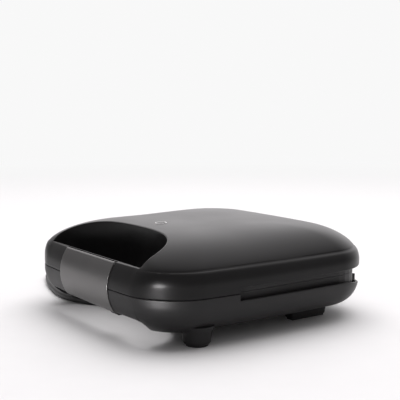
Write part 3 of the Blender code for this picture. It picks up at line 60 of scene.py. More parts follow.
def makeCamera():
    # Right is forward crossed with up, and the camera's own up is right crossed with forward.
    data = bpy.data.cameras.new("camera")
    data.lens = view["lens"]
    data.sensor_width = 36.0
    data.clip_start = 0.01
    camera = addObject("camera", data)
    forward = Vector(view["forward"]).normalized()
    right = forward.cross(Vector((0, 0, 1))).normalized()
    place = Matrix((right, right.cross(forward), -forward)).transposed().to_4x4()
    place.translation = Vector(view["place"]) * metre
    camera.matrix_world = place
    bpy.context.scene.camera = camera


makeCamera()


# Materials. Each is built from noise in object coordinates.
def setInputs(node, values):
    # Values for some of a node's inputs.
    for name, value in values.items():
        node.inputs[name].default_value = value


def newNode(tree, kind, values=None):
    # A shader node with values for some of its inputs.
    node = tree.nodes.new("ShaderNode" + kind)
    setInputs(node, values or {})
    return node


def join(source, output, node, entry):
    # A link from one node's output to an input of another.
    node.id_data.links.new(source.outputs[output], node.inputs[entry])


def newMaterial(name):
    # A material with its shader and the piece's own coordinates.
    material = bpy.data.materials.new(name)
    material.use_nodes = True
    tree = material.node_tree
    return material, tree, tree.nodes["Principled BSDF"], newNode(tree, "TexCoord")


def noiseNode(tree, coords, scale, detail, stretch=None):
    # Noise in object coordinates, stretched first where a metal is brushed.
    texture = newNode(tree, "TexNoise", {"Scale": scale, "Detail": detail})
    source, output = coords, "Object"
    if stretch:
        source, output = newNode(tree, "Mapping", {"Scale": stretch}), "Vector"
        join(coords, "Object", source, "Vector")
    join(source, output, texture, "Vector")
    return texture


def addTones(tree, noise, shader, dark, light):
    # The shader's colour, blended evenly from dark where the noise is 0.3 to light where it is 0.7.
    ramp = newNode(tree, "ValToRGB")
    for element, place, colour in zip(ramp.color_ramp.elements, (0.3, 0.7), (dark, light)):
        element.position = place
        element.color = (*colour, 1.0)
    join(noise, "Fac", ramp, "Fac")
    join(ramp, "Color", shader, "Base Color")


def addRange(tree, source, output, node, entry, span, results, kind="LINEAR"):
    # The node's input is the first result plus the source's share of its span times the way to the second.
    names = ("From Min", "From Max", "To Min", "To Max")
    mapped = newNode(tree, "MapRange", dict(zip(names, (*span, *results))))
    mapped.interpolation_type = kind
    join(source, output, mapped, "Value")
    join(mapped, "Result", node, entry)


def addBump(tree, noise, shader, distance):
    # A fine surface grain: the noise times a distance in metres.
    bump = newNode(tree, "Bump", {"Strength": 1.0, "Distance": distance})
    join(noise, "Fac", bump, "Height")
    join(bump, "Normal", shader, "Normal")


def grainy(name, dark, light, rough, grain, bumpSize, metallic=0.0, broad=14.0, stretch=None, gloss=0.5):
    # A material with broad tone changes, roughness that follows them and a fine surface grain.
    material, tree, shader, coords = newMaterial(name)
    wide = noiseNode(tree, coords, broad, 3.0, stretch)
    addTones(tree, wide, shader, dark, light)
    addRange(tree, wide, "Fac", shader, "Roughness", (0.3, 0.7), rough)
    addBump(tree, noiseNode(tree, coords, grain, 2.0, stretch), shader, bumpSize)
    setInputs(shader, {"Metallic": metallic, "Specular IOR Level": gloss})
    return material


materials = {
    "shell": grainy("shell_plastic", (0.0066, 0.0064, 0.0066), (0.0092, 0.0088, 0.0090),
                    (0.28, 0.34), 2600.0, 0.000010, gloss=0.18),
    "lowerShell": grainy("lower_shell_plastic", (0.0140, 0.0136, 0.0140), (0.0185, 0.0179, 0.0184),
                         (0.40, 0.48), 2600.0, 0.000014, gloss=0.24),
    "clip": grainy("clip_finish", (0.128, 0.125, 0.124), (0.152, 0.149, 0.147),
                   (0.31, 0.37), 2600.0, 0.000008, metallic=0.88),
    "frame": grainy("frame_plastic_dark", (0.015, 0.0145, 0.015), (0.020, 0.019, 0.0195),
                    (0.45, 0.55), 1800.0, 0.000015, gloss=0.3),
    "rubber": grainy("foot_rubber_matte", (0.012,) * 3, (0.019,) * 3,
                     (0.70, 0.85), 1500.0, 0.00003),
    "coating": grainy("plate_coating", (0.018, 0.018, 0.019), (0.028, 0.028, 0.030),
                      (0.30, 0.42), 3200.0, 0.000012, metallic=0.2),
    "sheet": grainy("sheet_metal", (0.45, 0.45, 0.46), (0.60, 0.60, 0.61),
                    (0.28, 0.42), 900.0, 0.00001, metallic=1.0, stretch=(1.0, 12.0, 1.0)),
    "heater": grainy("heater_tube_metal", (0.13, 0.12, 0.11), (0.26, 0.23, 0.20),
                     (0.40, 0.60), 1500.0, 0.00002, metallic=0.9, broad=60.0),
    "cord": grainy("cord_jacket", (0.014,) * 3, (0.021,) * 3, (0.42, 0.52), 1800.0, 0.00002),
    "brass": grainy("blade_metal", (0.60, 0.50, 0.30), (0.76, 0.64, 0.40),
                    (0.22, 0.34), 1200.0, 0.000008, metallic=1.0),
    "ceramic": grainy("block_body", (0.66, 0.63, 0.56), (0.76, 0.74, 0.68),
                      (0.50, 0.65), 1400.0, 0.00002),
    "lamp": grainy("lamp_body", (0.50, 0.12, 0.05), (0.70, 0.22, 0.10),
                   (0.08, 0.14), 600.0, 0.000005),
    "ring": grainy("ring_light", (0.84, 0.84, 0.83), (0.92, 0.92, 0.91),
                   (0.40, 0.50), 900.0, 0.000005),
    "lens": grainy("lens_dark", (0.020, 0.018, 0.018), (0.030, 0.027, 0.026),
                   (0.10, 0.16), 600.0, 0.000003),
}
print("materials made")


# Mesh helpers
def gridMesh(name, rows, material, closedAlong=False, sharp=32.0, capEnds=False):
    # A mesh from closed rows of points (rows, columns, 3) in millimetres: a tube, or a ring if it is
    # closed along too.
    rows = np.asarray(rows, float) * metre
    count, across = rows.shape[:2]
    index = np.arange(count * across).reshape(count, across)
    if closedAlong:
        index = np.vstack([index, index[:1]])
    index = np.hstack([index, index[:, :1]])
    a, b = index[:-1, :-1].ravel(), index[:-1, 1:].ravel()
    c, d = index[1:, 1:].ravel(), index[1:, :-1].ravel()
    faces = np.stack([a, b, c, d], axis=1).tolist()
    if capEnds:
        faces += [index[0, :across].tolist()[::-1], index[-1, :across].tolist()]
    mesh = bpy.data.meshes.new(name)
    mesh.from_pydata(rows.reshape(-1, 3).tolist(), [], faces)
    return finishMesh(name, mesh, material, sharp)


def finishMesh(name, mesh, material, sharp=32.0):
    # Doubles are merged before the faces are turned outwards; edges past the sharp angle stay crisp.
    work = bmesh.new()
    work.from_mesh(mesh)
    bmesh.ops.remove_doubles(work, verts=work.verts, dist=0.000002)
    bmesh.ops.dissolve_degenerate(work, edges=work.edges, dist=0.000001)
    bmesh.ops.recalc_face_normals(work, faces=work.faces)
    work.to_mesh(mesh)
    work.free()
    mesh.materials.append(material)
    mesh.shade_smooth()
    mesh.set_sharp_from_angle(angle=math.radians(sharp))
    return addObject(name, mesh)


def circle(count):
    # Unit directions spaced evenly round a circle.
    angles = np.linspace(0.0, 2 * math.pi, count, endpoint=False)
    return np.stack([np.cos(angles), np.sin(angles)], axis=1)


def arcPoints(middle, radius, turn, side=1.0):
    # Round a middle: to a side by the radius times the angle's cosine, and up by it times the sine.
    return np.stack([middle[0] + side * radius * np.cos(turn), middle[1] + radius * np.sin(turn)], axis=1)


def spaced(line, count):
    # Points spaced evenly along a line, and its length.
    way = np.concatenate([[0.0], np.cumsum(np.linalg.norm(np.diff(line, axis=0), axis=1))])
    at = np.linspace(0.0, way[-1], count)
    return np.stack([np.interp(at, way, part) for part in line.T], axis=1), way[-1]


def turnedPiece(name, profile, start, axis, material, sides=48, sharp=32.0):
    # A profile of (radius, way) pairs turned about a line; its ends lie on the line or meet.
    axis = np.array(axis, float) / np.linalg.norm(axis)
    other = np.cross(axis, (0.0, 0.0, 1.0) if abs(axis[2]) < 0.9 else (1.0, 0.0, 0.0))
    other /= np.linalg.norm(other)
    ring = circle(sides) @ np.array([other, np.cross(axis, other)])
    rows = [np.array(start) + axis * way + ring * radius for radius, way in profile]
    return gridMesh(name, rows, material, closedAlong=profile[0][0] > 0, sharp=sharp)


def through(places, values, at):
    # A smooth curve through a table: a cubic on each stretch, with slopes from its neighbours.
    places, values, at = np.asarray(places, float), np.asarray(values, float), np.asarray(at, float)
    steps = np.diff(values) / np.diff(places)
    slopes = np.concatenate([steps[:1], (steps[1:] + steps[:-1]) / 2, steps[-1:]])
    slopes[1:-1][steps[1:] * steps[:-1] <= 0] = 0.0
    k = np.clip(np.searchsorted(places, at, side="right") - 1, 0, len(places) - 2)
    width = places[k + 1] - places[k]
    t = np.clip((at - places[k]) / width, 0.0, 1.0)
    return (
        values[k] * (2 * t**3 - 3 * t**2 + 1) + slopes[k] * width * (t**3 - 2 * t**2 + t)
        + values[k + 1] * (3 * t**2 - 2 * t**3) + slopes[k + 1] * width * (t**3 - t**2)
    )


def ease(share):
    # Share squared times three less twice the share: level at both ends.
    share = np.clip(share, 0.0, 1.0)
    return share * share * (3.0 - 2.0 * share)


def fillet(before, corner, after, steps):
    # Points of a soft corner: a quadratic curve from before to after that leans on the corner.
    t = np.linspace(0.0, 1.0, steps)[:, None, None]
    return before[None] * (1 - t) ** 2 + corner[None] * 2 * t * (1 - t) + after[None] * t**2


# The cord's route, first down from its outlet and then level on the table, and its coil and tail
cord = {
    "radius": 3.25, "exit": (-45.5, 149.0, 20.5),
    "coilMiddle": (-190.0, 9.0), "coilOuter": 38.0, "turns": 2.0, "pitch": 7.1,
    "tieLift": 1.1, "tieSpread": 0.55, "tail": 33.0, "tailFlat": 0.15, "plugAxis": 9.0,
    "count": 460, "sides": 20,
    "down": (
        (-45.5, 155.5, 20.5), (-45.5, 162.5, 17.8), (-47, 170.5, 13.2), (-52, 178, 8.8),
        (-60, 183.8, 5.4), (-70, 186.8, 3.7),
    ),
    "level": (
        (-80.5, 186.2), (-90.5, 181.5), (-98.5, 173.5), (-103.5, 162.5), (-105, 150), (-103.5, 137),
        (-98.5, 124), (-91, 111), (-81, 98.5), (-70.5, 86.5), (-61.5, 73), (-54.5, 57.5), (-49, 41),
        (-44, 24), (-40, 6), (-38, -12), (-39, -30), (-43.5, -47.5), (-52.5, -64), (-65.5, -77.5),
        (-83.5, -86), (-104, -88.6), (-124.2, -86.6), (-142, -82.5), (-162, -76.8), (-182.3, -69),
        (-201.6, -60), (-217, -46), (-225.5, -29), (-227.8, -14),
    ),
}


def splinePoints(points, steps):
    # A smooth line through points: on each stretch a cubic whose slopes come from the neighbours.
    p = np.array(points, float)
    p = np.vstack([2 * p[0] - p[1], p, 2 * p[-1] - p[-2]])
    t = np.linspace(0.0, 1.0, steps, endpoint=False)[:, None]
    line = []
    for a, b, c, d in zip(p, p[1:], p[2:], p[3:]):
        bend, twist = 2 * a - 5 * b + 4 * c - d, 3 * b - a - 3 * c + d
        line.append(0.5 * (2 * b + (c - a) * t + bend * t**2 + twist * t**3))
    return np.vstack(line + [p[-2:-1]])


def coilPoints(steps):
    # The coil: radius and layer change with the turn, and the turns rise a little under the tie.
    total = int(cord["turns"] * steps)
    turn = np.arange(total + 1) / steps
    half = cord["turns"] / 2
    radius = cord["coilOuter"] - cord["pitch"] * np.where(turn < half, turn, cord["turns"] - turn)
    layer = ease((turn - (half - 0.25)) / 0.5)
    angle = math.pi - 2 * math.pi * turn
    away = np.abs((angle + math.pi) % (2 * math.pi) - math.pi)
    lift = cord["tieLift"] * np.exp(-((away / cord["tieSpread"]) ** 2))
    x, y = cord["coilMiddle"]
    height = cord["radius"] + cord["pitch"] * layer + lift
    return np.stack([x + radius * np.cos(angle), y + radius * np.sin(angle), height], axis=1)


def cordPath():
    # Route, coil and tail in one line, with points spaced evenly along it, and its length.
    coil = coilPoints(60)
    start, end = coil[0], coil[-1]
    straight = 2 * cord["radius"]
    route = [cord["exit"], *cord["down"], *((x, y, cord["radius"]) for x, y in cord["level"])]
    run = splinePoints([*route, start - (0.0, straight, 0.0), start], 8)
    share = np.linspace(0.0, 1.0, 16)[1:, None]
    stop = np.array([end[0], end[1] + straight + cord["tail"], cord["plugAxis"]])
    tail = end + (stop - end) * share
    rise = ease((share[:, 0] - cord["tailFlat"]) / (1.0 - cord["tailFlat"]))
    tail[:, 2] = end[2] + (stop[2] - end[2]) * rise
    return spaced(np.vstack([run, coil[1:], tail]), cord["count"])


def tubeRows(path, radius, sides):
    # Rings square to a path, carried along it without twist.
    ahead = np.gradient(path, axis=0)
    ahead /= np.linalg.norm(ahead, axis=1, keepdims=True)
    side = np.cross(ahead[0], (0.0, 0.0, 1.0))
    ring = circle(sides)
    rows = []
    for spot, way in zip(path, ahead):
        side = side - way * np.dot(side, way)
        side /= np.linalg.norm(side)
        rows.append(spot + radius * ring @ np.array([side, np.cross(side, way)]))
    return rows


# Strain relief at the cord's outlet
reliefForm = {
    "place": (-46.0, 118.7, 20.5), "radius": 5.6, "taper": 1.5, "length": 28.0,
    "grooves": 7, "grooveDepth": 0.55, "grooveStart": 0.06, "grooveSpan": 0.88,
    "flange": ((0.0, -6.6), (4.5, -6.6), (4.5, 0.0), (6.0, 0.0), (6.4, 0.4), (6.4, 1.6), (6.0, 2.0)),
}


def makeRelief():
    # The radius falls evenly by the taper, less a groove's depth times the square of a half cosine wave.
    form = reliefForm
    along = np.linspace(0.0, 1.0, 120)
    turn = 2 * math.pi * np.clip((along - form["grooveStart"]) / form["grooveSpan"], 0, 1) * form["grooves"]
    radius = form["radius"] - form["taper"] * along - form["grooveDepth"] * (0.5 - 0.5 * np.cos(turn)) ** 2
    start = form["flange"][-1][1]
    profile = [*form["flange"], *((r, start + form["length"] * a) for r, a in zip(radius, along))]
    profile.append((0.0, start + form["length"]))
    return turnedPiece("cord_relief", profile, form["place"], (0, 1, 0), materials["cord"], 40)


# Plug: its ringed neck, and its body as rows of way, half width, half height and the section's power
plugForm = {
    "gap": 0.3, "neckLength": 16.0, "neckRadius": 6.4, "neckFall": 0.52, "ringDepth": 0.5, "ringPitch": 3.2,
    "body": (
        (17.0, 7.0, 6.6, 2.2), (19.0, 9.0, 7.4, 2.6), (22.0, 10.8, 8.3, 3.0), (26.0, 11.3, 8.7, 3.4),
        (30.0, 10.7, 8.2, 3.6), (34.0, 10.6, 8.1, 3.8), (38.0, 11.2, 8.5, 4.0), (42.0, 11.8, 8.9, 4.2),
        (46.0, 12.0, 9.0, 4.4), (48.2, 11.9, 8.9, 4.6), (48.8, 11.5, 8.5, 4.6), (49.0, 10.6, 7.6, 4.6),
    ),
}


def makePlug(x, y):
    # Superellipse sections: half size times cosine and sine, each raised to two over the power.
    form = plugForm
    way = circle(64)
    stations = []
    for along in np.linspace(0.0, form["neckLength"], 40):
        ring = form["ringDepth"] * (0.5 - 0.5 * math.cos(2 * math.pi * along / form["ringPitch"])) ** 2
        radius = form["neckRadius"] - form["neckFall"] * along / form["neckLength"] - ring
        stations.append((along, radius, radius, 2.0))
    table = np.array(form["body"])
    ways, wide, high, powers = table[:-2].T
    fine = np.linspace(ways[0], ways[-1], 60)
    smooth = through(ways, wide, fine), through(ways, high, fine), np.interp(fine, ways, powers)
    stations += [*zip(fine, *smooth), *table[-2:]]
    rows = []
    for along, wide, high, power in stations:
        u, v = (np.sign(way) * np.abs(way) ** (2 / power) * (wide, high)).T
        rows.append(np.column_stack([x + u, np.full(len(u), y + along), cord["plugAxis"] + v]))
    return gridMesh("plug_shell", rows, materials["cord"], capEnds=True)


# Tie round the coil: its slack round the turns, half its thickness and its section (side, way out)
tieForm = {
    "slack": 0.3, "half": 0.4, "inward": 0.588, "low": 0.45, "corner": 2.2,
    "section": (
        (-4.5, 0.2), (-4.3, 0.4), (4.3, 0.4), (4.5, 0.2),
        (4.5, -0.2), (4.3, -0.4), (-4.3, -0.4), (-4.5, -0.2),
    ),
}


def makeTie():
    # A rounded rectangle round the turns: the corners' middles plus a radius, swept by the flat section.
    form = tieForm
    middle = cord["coilOuter"] - cord["pitch"] * cord["turns"] / 4
    inner = middle - cord["radius"] - form["inward"] - form["slack"] - form["half"]
    outer = middle + cord["radius"] + form["slack"] + form["half"]
    low = form["low"]
    high = 2 * cord["radius"] + cord["pitch"] + cord["tieLift"] + form["slack"] + form["half"]
    half = np.array([(outer - inner) / 2, (high - low) / 2])
    normal = circle(72)
    loop = np.sign(normal) * (half - form["corner"]) + form["corner"] * normal
    rows = []
    for side, grow in form["section"]:
        spot = loop + normal * grow
        rows.append(np.column_stack([
            cord["coilMiddle"][0] + (inner + outer) / 2 + spot[:, 0],
            np.full(len(loop), cord["coilMiddle"][1] + side),
            (low + high) / 2 + spot[:, 1],
        ]))
    return gridMesh("coil_tie", rows, materials["rubber"], closedAlong=True)


# Plan of the housing
plan = {
    "halfWidth": 120.0, "halfDepth": 121.4, "frontRadius": 43.0, "rearRadius": 49.0,
    "sideBow": 5.0, "frontBow": 5.3, "stepAt": -44.0, "wall": 2.5,
    "openingHalf": 78.5, "openingFront": -109.4, "openingDepth": 45.5, "openingPower": 2.6,
    "openingMiddle": (0.0, -100.0), "openingWall": 2.2, "clipHalf": 43.7, "clipGap": 0.4,
    "handleAxis": (-86.9, 41.0), "handleRadius": 34.5, "crease": 62.2, "creaseInset": 5.2, "land": 62.5,
    "domeRise": 21.3, "domePowers": (4.1, 5.6), "domeRoot": 1.22, "domeTurn": 0.3,
    "frontFrom": 95.0, "frontBlend": 15.0, "frontEnds": 100.0, "frontEndBlend": 28.0,
}


def bow(points):
    # Each side is drawn in towards its ends, by its bow times the square of the way along it.
    x, y = points[..., 0], points[..., 1]
    return np.stack([
        x * (1 - plan["sideBow"] / plan["halfWidth"] * (y / plan["halfDepth"]) ** 2),
        y * (1 - plan["frontBow"] / plan["halfDepth"] * (x / plan["halfWidth"]) ** 2),
    ], axis=-1)


def rimPoint(along):
    # Point and outward direction on the unbowed plan, by the way from the front's middle to the right.
    w, d, rf, rr = plan["halfWidth"], plan["halfDepth"], plan["frontRadius"], plan["rearRadius"]
    quarter = math.pi / 2
    marks = np.cumsum([w - rf, rf * quarter, 2 * d - rf - rr, rr * quarter, w - rr])
    points, outs = [], []
    for s in np.atleast_1d(along):
        if s < marks[0]:
            point, angle = (s, -d), -quarter
        elif s < marks[1]:
            angle = -quarter + (s - marks[0]) / rf
            point = (w - rf + rf * math.cos(angle), rf - d + rf * math.sin(angle))
        elif s < marks[2]:
            point, angle = (w, rf - d + s - marks[1]), 0.0
        elif s < marks[3]:
            angle = (s - marks[2]) / rr
            point = (w - rr + rr * math.cos(angle), d - rr + rr * math.sin(angle))
        else:
            point, angle = (w - rr - (s - marks[3]), d), quarter
        points.append(point)
        outs.append((math.cos(angle), math.sin(angle)))
    return np.array(points), np.array(outs), marks[-1]


def findAlong(test, low, high):
    # The way along the rim where test changes from below nought to above it.
    for _ in range(40):
        middle = (low + high) / 2
        low, high = (middle, high) if test(bow(rimPoint(middle)[0])[0]) < 0 else (low, middle)
    return (low + high) / 2


def makeColumns():
    # Columns round the housing. Where the form jumps, two columns share one place.
    seat = plan["clipHalf"] + plan["clipGap"]
    end = rimPoint(0.0)[2]
    atSeat = findAlong(lambda p: p[0] - seat, 0.0, 100.0)
    atOpening = findAlong(lambda p: p[0] - plan["openingHalf"], 0.0, 110.0)
    atStep = findAlong(lambda p: p[1] - plan["stepAt"], 120.0, 260.0)
    marks = (0.0, atSeat, atOpening, atStep, end)
    along, kind = [], []
    for label, (start, stop, count) in enumerate(zip(marks, marks[1:], (22, 18, 56, 116))):
        along += list(np.linspace(start, stop, count))
        kind += [label] * count
    points, outs = rimPoint(np.array(along))[:2]
    kind = np.array(kind)
    flip = np.array([-1.0, 1.0])
    keep = slice(-2, 0, -1)
    return {
        "points": np.vstack([points, points[keep] * flip]),
        "outs": np.vstack([outs, outs[keep] * flip]),
        "kind": np.concatenate([kind, kind[keep]]),
    }


columns = makeColumns()
columnBase = bow(columns["points"])
isSeat, isHandle = columns["kind"] == 0, columns["kind"] <= 1
isRear = columns["kind"] == 3
upward = np.array([0.0, 0.0, 1.0])
frontShare = ease((-columnBase[:, 1] - plan["frontFrom"]) / plan["frontBlend"])
frontShare *= ease((plan["frontEnds"] - np.abs(columnBase[:, 0])) / plan["frontEndBlend"])


def planAt(inset):
    # The plan drawn in by inset, one for all columns or one for each.
    inset = np.broadcast_to(np.asarray(inset, float), (len(columnBase),))
    points = bow(columns["points"] - columns["outs"] * inset[:, None])
    points[isHandle, 0] = columnBase[isHandle, 0]
    return points


def handleInset(height):
    # The handle's front is an arc: its radius less the root of radius squared less height squared.
    return plan["handleRadius"] - np.sqrt(plan["handleRadius"] ** 2 - (height - plan["handleAxis"][1]) ** 2)


def openingAt(grow):
    # The opening's edge for each column: the rim's angle round the opening's middle is mapped to the
    # opening's own, and the reach there is found by halving.
    half, front = plan["openingHalf"] + grow, plan["openingFront"] - grow
    depth = plan["openingDepth"] + 2 * grow
    middle, power = np.array(plan["openingMiddle"]), plan["openingPower"]
    crease = planAt(plan["creaseInset"])
    turn = np.arctan2(crease[:, 1] - middle[1], crease[:, 0])
    turn = np.where(turn < -math.pi / 2, turn + 2 * math.pi, turn)
    first, last = turn[~isHandle].min(), turn[~isHandle].max()
    start = math.atan2(plan["openingFront"] - middle[1], plan["openingHalf"])
    share = (turn - first) / (last - first)
    angle = start + share * (math.pi - 2 * start)
    way = np.stack([np.cos(angle), np.sin(angle)], axis=1)
    low, high = np.zeros(len(angle)), np.full(len(angle), 140.0)
    for _ in range(40):
        reach = (low + high) / 2
        spot = middle + way * reach[:, None]
        height = np.maximum(spot[:, 1] - front, 0.0) / depth
        inside = (np.abs(spot[:, 0] / half) ** power + height**power < 1) & (spot[:, 1] > front)
        low, high = np.where(inside, reach, low), np.where(inside, high, reach)
    points = middle + way * low[:, None]
    points[isHandle, 0] = columnBase[isHandle, 0]
    points[isHandle, 1] = front
    return points


creaseLoop = planAt(plan["creaseInset"])
creaseLoop[:, 0] = bow(columns["points"] - columns["outs"] * plan["creaseInset"])[:, 0]


def domeHeight(points):
    # The crease's height plus the rise times (1 - share^power)^(1/root), for a share of the way out.
    ends = np.roll(creaseLoop, -1, axis=0)
    edge = ends - creaseLoop
    solid = np.hypot(edge[:, 0], edge[:, 1]) > 1e-6
    a, e = creaseLoop[solid], edge[solid]
    base = e[:, 1] * a[:, 0] - e[:, 0] * a[:, 1]
    flat = points.reshape(-1, 2)
    share = np.max((flat[:, :1] * e[:, 1] - flat[:, 1:] * e[:, 0]) / base, axis=1)
    share = np.clip(share, 1e-4, 1.0).reshape(points.shape[:-1])
    rear = ease(plan["domeTurn"] + points[..., 1] / share / plan["halfDepth"])
    power = plan["domePowers"][0] + (plan["domePowers"][1] - plan["domePowers"][0]) * rear
    return plan["crease"] + plan["domeRise"] * (1 - share**power) ** (1 / plan["domeRoot"])


def withHeight(points, height):
    # Plan points given their heights.
    return np.concatenate([points, np.broadcast_to(height, points.shape[:-1])[..., None]], axis=-1)


def lineRows(start, end, shares):
    # Rows on the straight way from start to end, one for each share.
    shares = np.asarray(shares, float)[:, None, None]
    return start[None] * (1 - shares) + end[None] * shares


def towards(start, end, distance):
    # Points a distance from start on the way to end.
    way = end - start
    length = np.maximum(np.linalg.norm(way, axis=-1, keepdims=True), 1e-6)
    return start + way * np.minimum(distance / length, 0.45)


def clearNear(rows, corner, distance, place):
    # Points nearer to a corner than a distance go to one place, so that a soft corner fits between.
    near = np.linalg.norm(rows - corner, axis=-1, keepdims=True) < distance
    return np.where(near, place[None], rows)


def lipInside(inset, corner, soft, height):
    # The rim's points a soft corner's way in.
    points = withHeight(planAt(inset + soft), height)
    points[isHandle, 1] = corner[isHandle, 1] + soft
    return points


def closeHandle(inside, start, end):
    # At the handle the inside's rows run straight from start to end.
    flat = lineRows(start, end, np.linspace(0.1, 0.9, len(inside)))
    inside[:, isHandle] = flat[:, isHandle]


# Upper shell. The band's shares are (part of its height, part of the crease's inset).
upper = {
    "lip": 46.2, "foot": 41.2, "rimSoft": 1.3, "handleSoft": 0.6, "creaseSoft": 0.9, "seatSoft": 0.2,
    "lipSoft": 0.7, "blend": 14.0, "seatRoll": 2.35, "seatDepth": 3.0,
    "innerHeight": 60.0, "innerLean": 2.0,
    "bandShares": (
        (0.0, 0.10), (0.226, 0.04), (0.462, 0.0), (0.65, 0.10), (0.82, 0.35), (0.943, 0.67), (1.0, 1.0),
    ),
}
clipPivot = (-113.25, 60.4)


def bandInset(height):
    # Side inset of the band at a height, from its table of shares.
    table = np.array(upper["bandShares"])
    share = (height - plan["handleAxis"][1]) / (plan["crease"] - plan["handleAxis"][1])
    return through(table[:, 0], table[:, 1], share) * plan["creaseInset"]


def seatProfile(lowest, steps):
    # The clip's seat in side view, top to bottom: (y, z) behind its roll, round it and down the front.
    roll, arc = upper["seatRoll"], plan["handleRadius"] - upper["seatDepth"]
    mz = plan["handleAxis"][1]
    bend = arcPoints(clipPivot, roll, np.linspace(0.0, -math.pi / 2, 8))
    swing = np.linspace(math.asin((clipPivot[1] - roll - mz) / arc), math.asin((lowest - mz) / arc), 60)
    front = arcPoints(plan["handleAxis"], arc, swing, -1.0)
    return spaced(np.vstack([[(clipPivot[0] + roll, plan["land"])], bend, front]), steps)[0]


def makeUpperShell():
    # Closed rows from the opening's foot up its wall, over the top, down the band, round the lip and back.
    opening = openingAt(0.0)
    low = np.where(isRear, upper["lip"], upper["foot"])
    crease = plan["crease"]
    creaseAt = planAt(bandInset(crease) * (1 - frontShare) + handleInset(crease) * frontShare)
    # Near the crease the dome's height comes down onto it, by a bell curve of the way left
    share = 0.5 - 0.5 * np.cos(np.linspace(0.0, math.pi, 64))
    flat = lineRows(opening, creaseAt, share)
    apart = np.linalg.norm(flat - creaseAt, axis=-1)
    over = domeHeight(creaseAt) - plan["crease"]
    height = domeHeight(flat) - over * np.exp(-((apart / upper["blend"]) ** 2))
    height[:, isHandle] = plan["land"] - (plan["land"] - plan["crease"]) * share[:, None] ** 3
    top = withHeight(flat, height)
    # The clip's seat takes the front part of the handle's top
    back = clipPivot[0] + upper["seatRoll"]
    span = np.linspace(0.0, 1.0, len(top))
    top[:, isSeat, 1] = (plan["openingFront"] + (back - plan["openingFront"]) * span)[:, None]
    top[:, isSeat, 2] = plan["land"]
    edge = top[0]
    soft = np.where(isHandle, upper["handleSoft"], upper["rimSoft"])[:, None]
    wallTop = edge - upward * soft
    inward = towards(edge, top[-1], soft)
    foots = withHeight(opening, upper["foot"])
    wall = lineRows(foots, wallTop, np.linspace(0.0, 1.0, 8))
    rimRows = fillet(wallTop, edge, inward, 6)[1:-1]
    # The top's own rows start past the soft rim
    reach = np.linalg.norm(top - edge, axis=-1)
    past = np.maximum(reach, np.linalg.norm(inward - edge, axis=-1))
    onTop = top.copy()
    for k in range(top.shape[1]):
        for axis in range(3):
            onTop[:, k, axis] = np.interp(past[:, k], reach[:, k], top[:, k, axis])
    # The band under the crease, with the clip's seat in it
    heights = np.linspace(1.0, 0.0, 34)[:, None] * (plan["crease"] - low) + low
    inset = bandInset(heights) * (1 - frontShare) + handleInset(heights) * frontShare
    band = np.stack([withHeight(planAt(row), z) for row, z in zip(inset, heights)])
    seat = seatProfile(upper["foot"], len(band))
    band[:, isSeat, 1] = seat[:, :1]
    band[:, isSeat, 2] = seat[:, 1:]
    corner = band[0]
    creaseSoft = np.where(isSeat, upper["seatSoft"], upper["creaseSoft"])[:, None]
    before, after = towards(corner, onTop[-8], creaseSoft), towards(corner, band[3], creaseSoft)
    creaseRows = fillet(before, corner, after, 6)
    topRows = clearNear(onTop[:-1], corner, creaseSoft, before)
    bandRows = clearNear(band[1:], corner, creaseSoft, after)
    lipSoft, lipCorner = upper["lipSoft"], band[-1]
    lipUp = towards(lipCorner, band[-6], lipSoft)
    bandRows = clearNear(bandRows, lipCorner, lipSoft, lipUp)
    lipIn = lipInside(inset[-1], lipCorner, lipSoft, low)
    lipRows = fillet(lipUp, lipCorner, lipIn, 5)
    # Inside: the rim's flat, the wall, the underside of the top and the opening's outer wall
    innerFoot = withHeight(planAt(inset[-1] + plan["wall"]), low)
    innerTop = withHeight(planAt(inset[-1] + plan["wall"] + upper["innerLean"]), upper["innerHeight"])
    grown = openingAt(plan["openingWall"])
    under = lineRows(innerTop[:, :2], grown, np.linspace(0.03, 1.0, 16))
    underRows = withHeight(under, domeHeight(under) - plan["wall"])
    outerWall = withHeight(grown, upper["foot"])
    inside = np.vstack([innerFoot[None], innerTop[None], underRows, outerWall[None]])
    closeHandle(inside, lipIn, foots)
    rows = np.vstack([wall, rimRows, topRows, creaseRows, bandRows, lipRows, inside])
    return gridMesh("upper_shell", rows, materials["shell"], closedAlong=True)


# Lower shell. The side profile is (inset, height), and the front's shares are of its drop and its run.
lower = {
    "foot": 40.9, "lip": 35.5, "slopeStart": 72.0, "slopeDrop": 8.1, "edgeSoft": 1.0, "lipSoft": 0.7,
    "rows": 44, "reach": 40.0, "tightRoom": 34.0, "tightBlend": 10.0, "seatFoot": 20.0, "under": 1.0,
    "frontDrop": 21.0, "frontRun": 20.0,
    "sideProfile": (
        (0.3, 41.0), (0.2, 35.5), (1.0, 30.0), (2.8, 25.0), (6.0, 19.8),
        (10.5, 15.8), (17.0, 12.4), (26.0, 10.4), (40.0, 9.8),
    ),
    "frontDrops": (0.0, 0.20, 0.40, 0.60, 0.77, 0.90, 1.0, 1.0, 1.0),
    "frontRuns": (0.0, 0.0, 0.0, 0.0, 0.0, 0.0, 0.15, 0.45, 1.0),
}


def bowlProfile(count):
    # Each column's inset and height from the rim to the flat bottom, side and front forms blended.
    table = np.array(lower["sideProfile"])
    knots = np.arange(len(table))
    at = np.linspace(0.0, knots[-1], count)
    side = np.stack([through(knots, table[:, 0], at), through(knots, table[:, 1], at)], axis=1)
    frontHeight = plan["handleAxis"][1] - lower["frontDrop"] * through(knots, lower["frontDrops"], at)
    frontInset = handleInset(frontHeight) + lower["frontRun"] * through(knots, lower["frontRuns"], at)
    share = frontShare[:, None]
    inset = side[:, 0] * (1 - share) + frontInset * share
    height = side[:, 1] * (1 - share) + frontHeight * share
    return inset, height


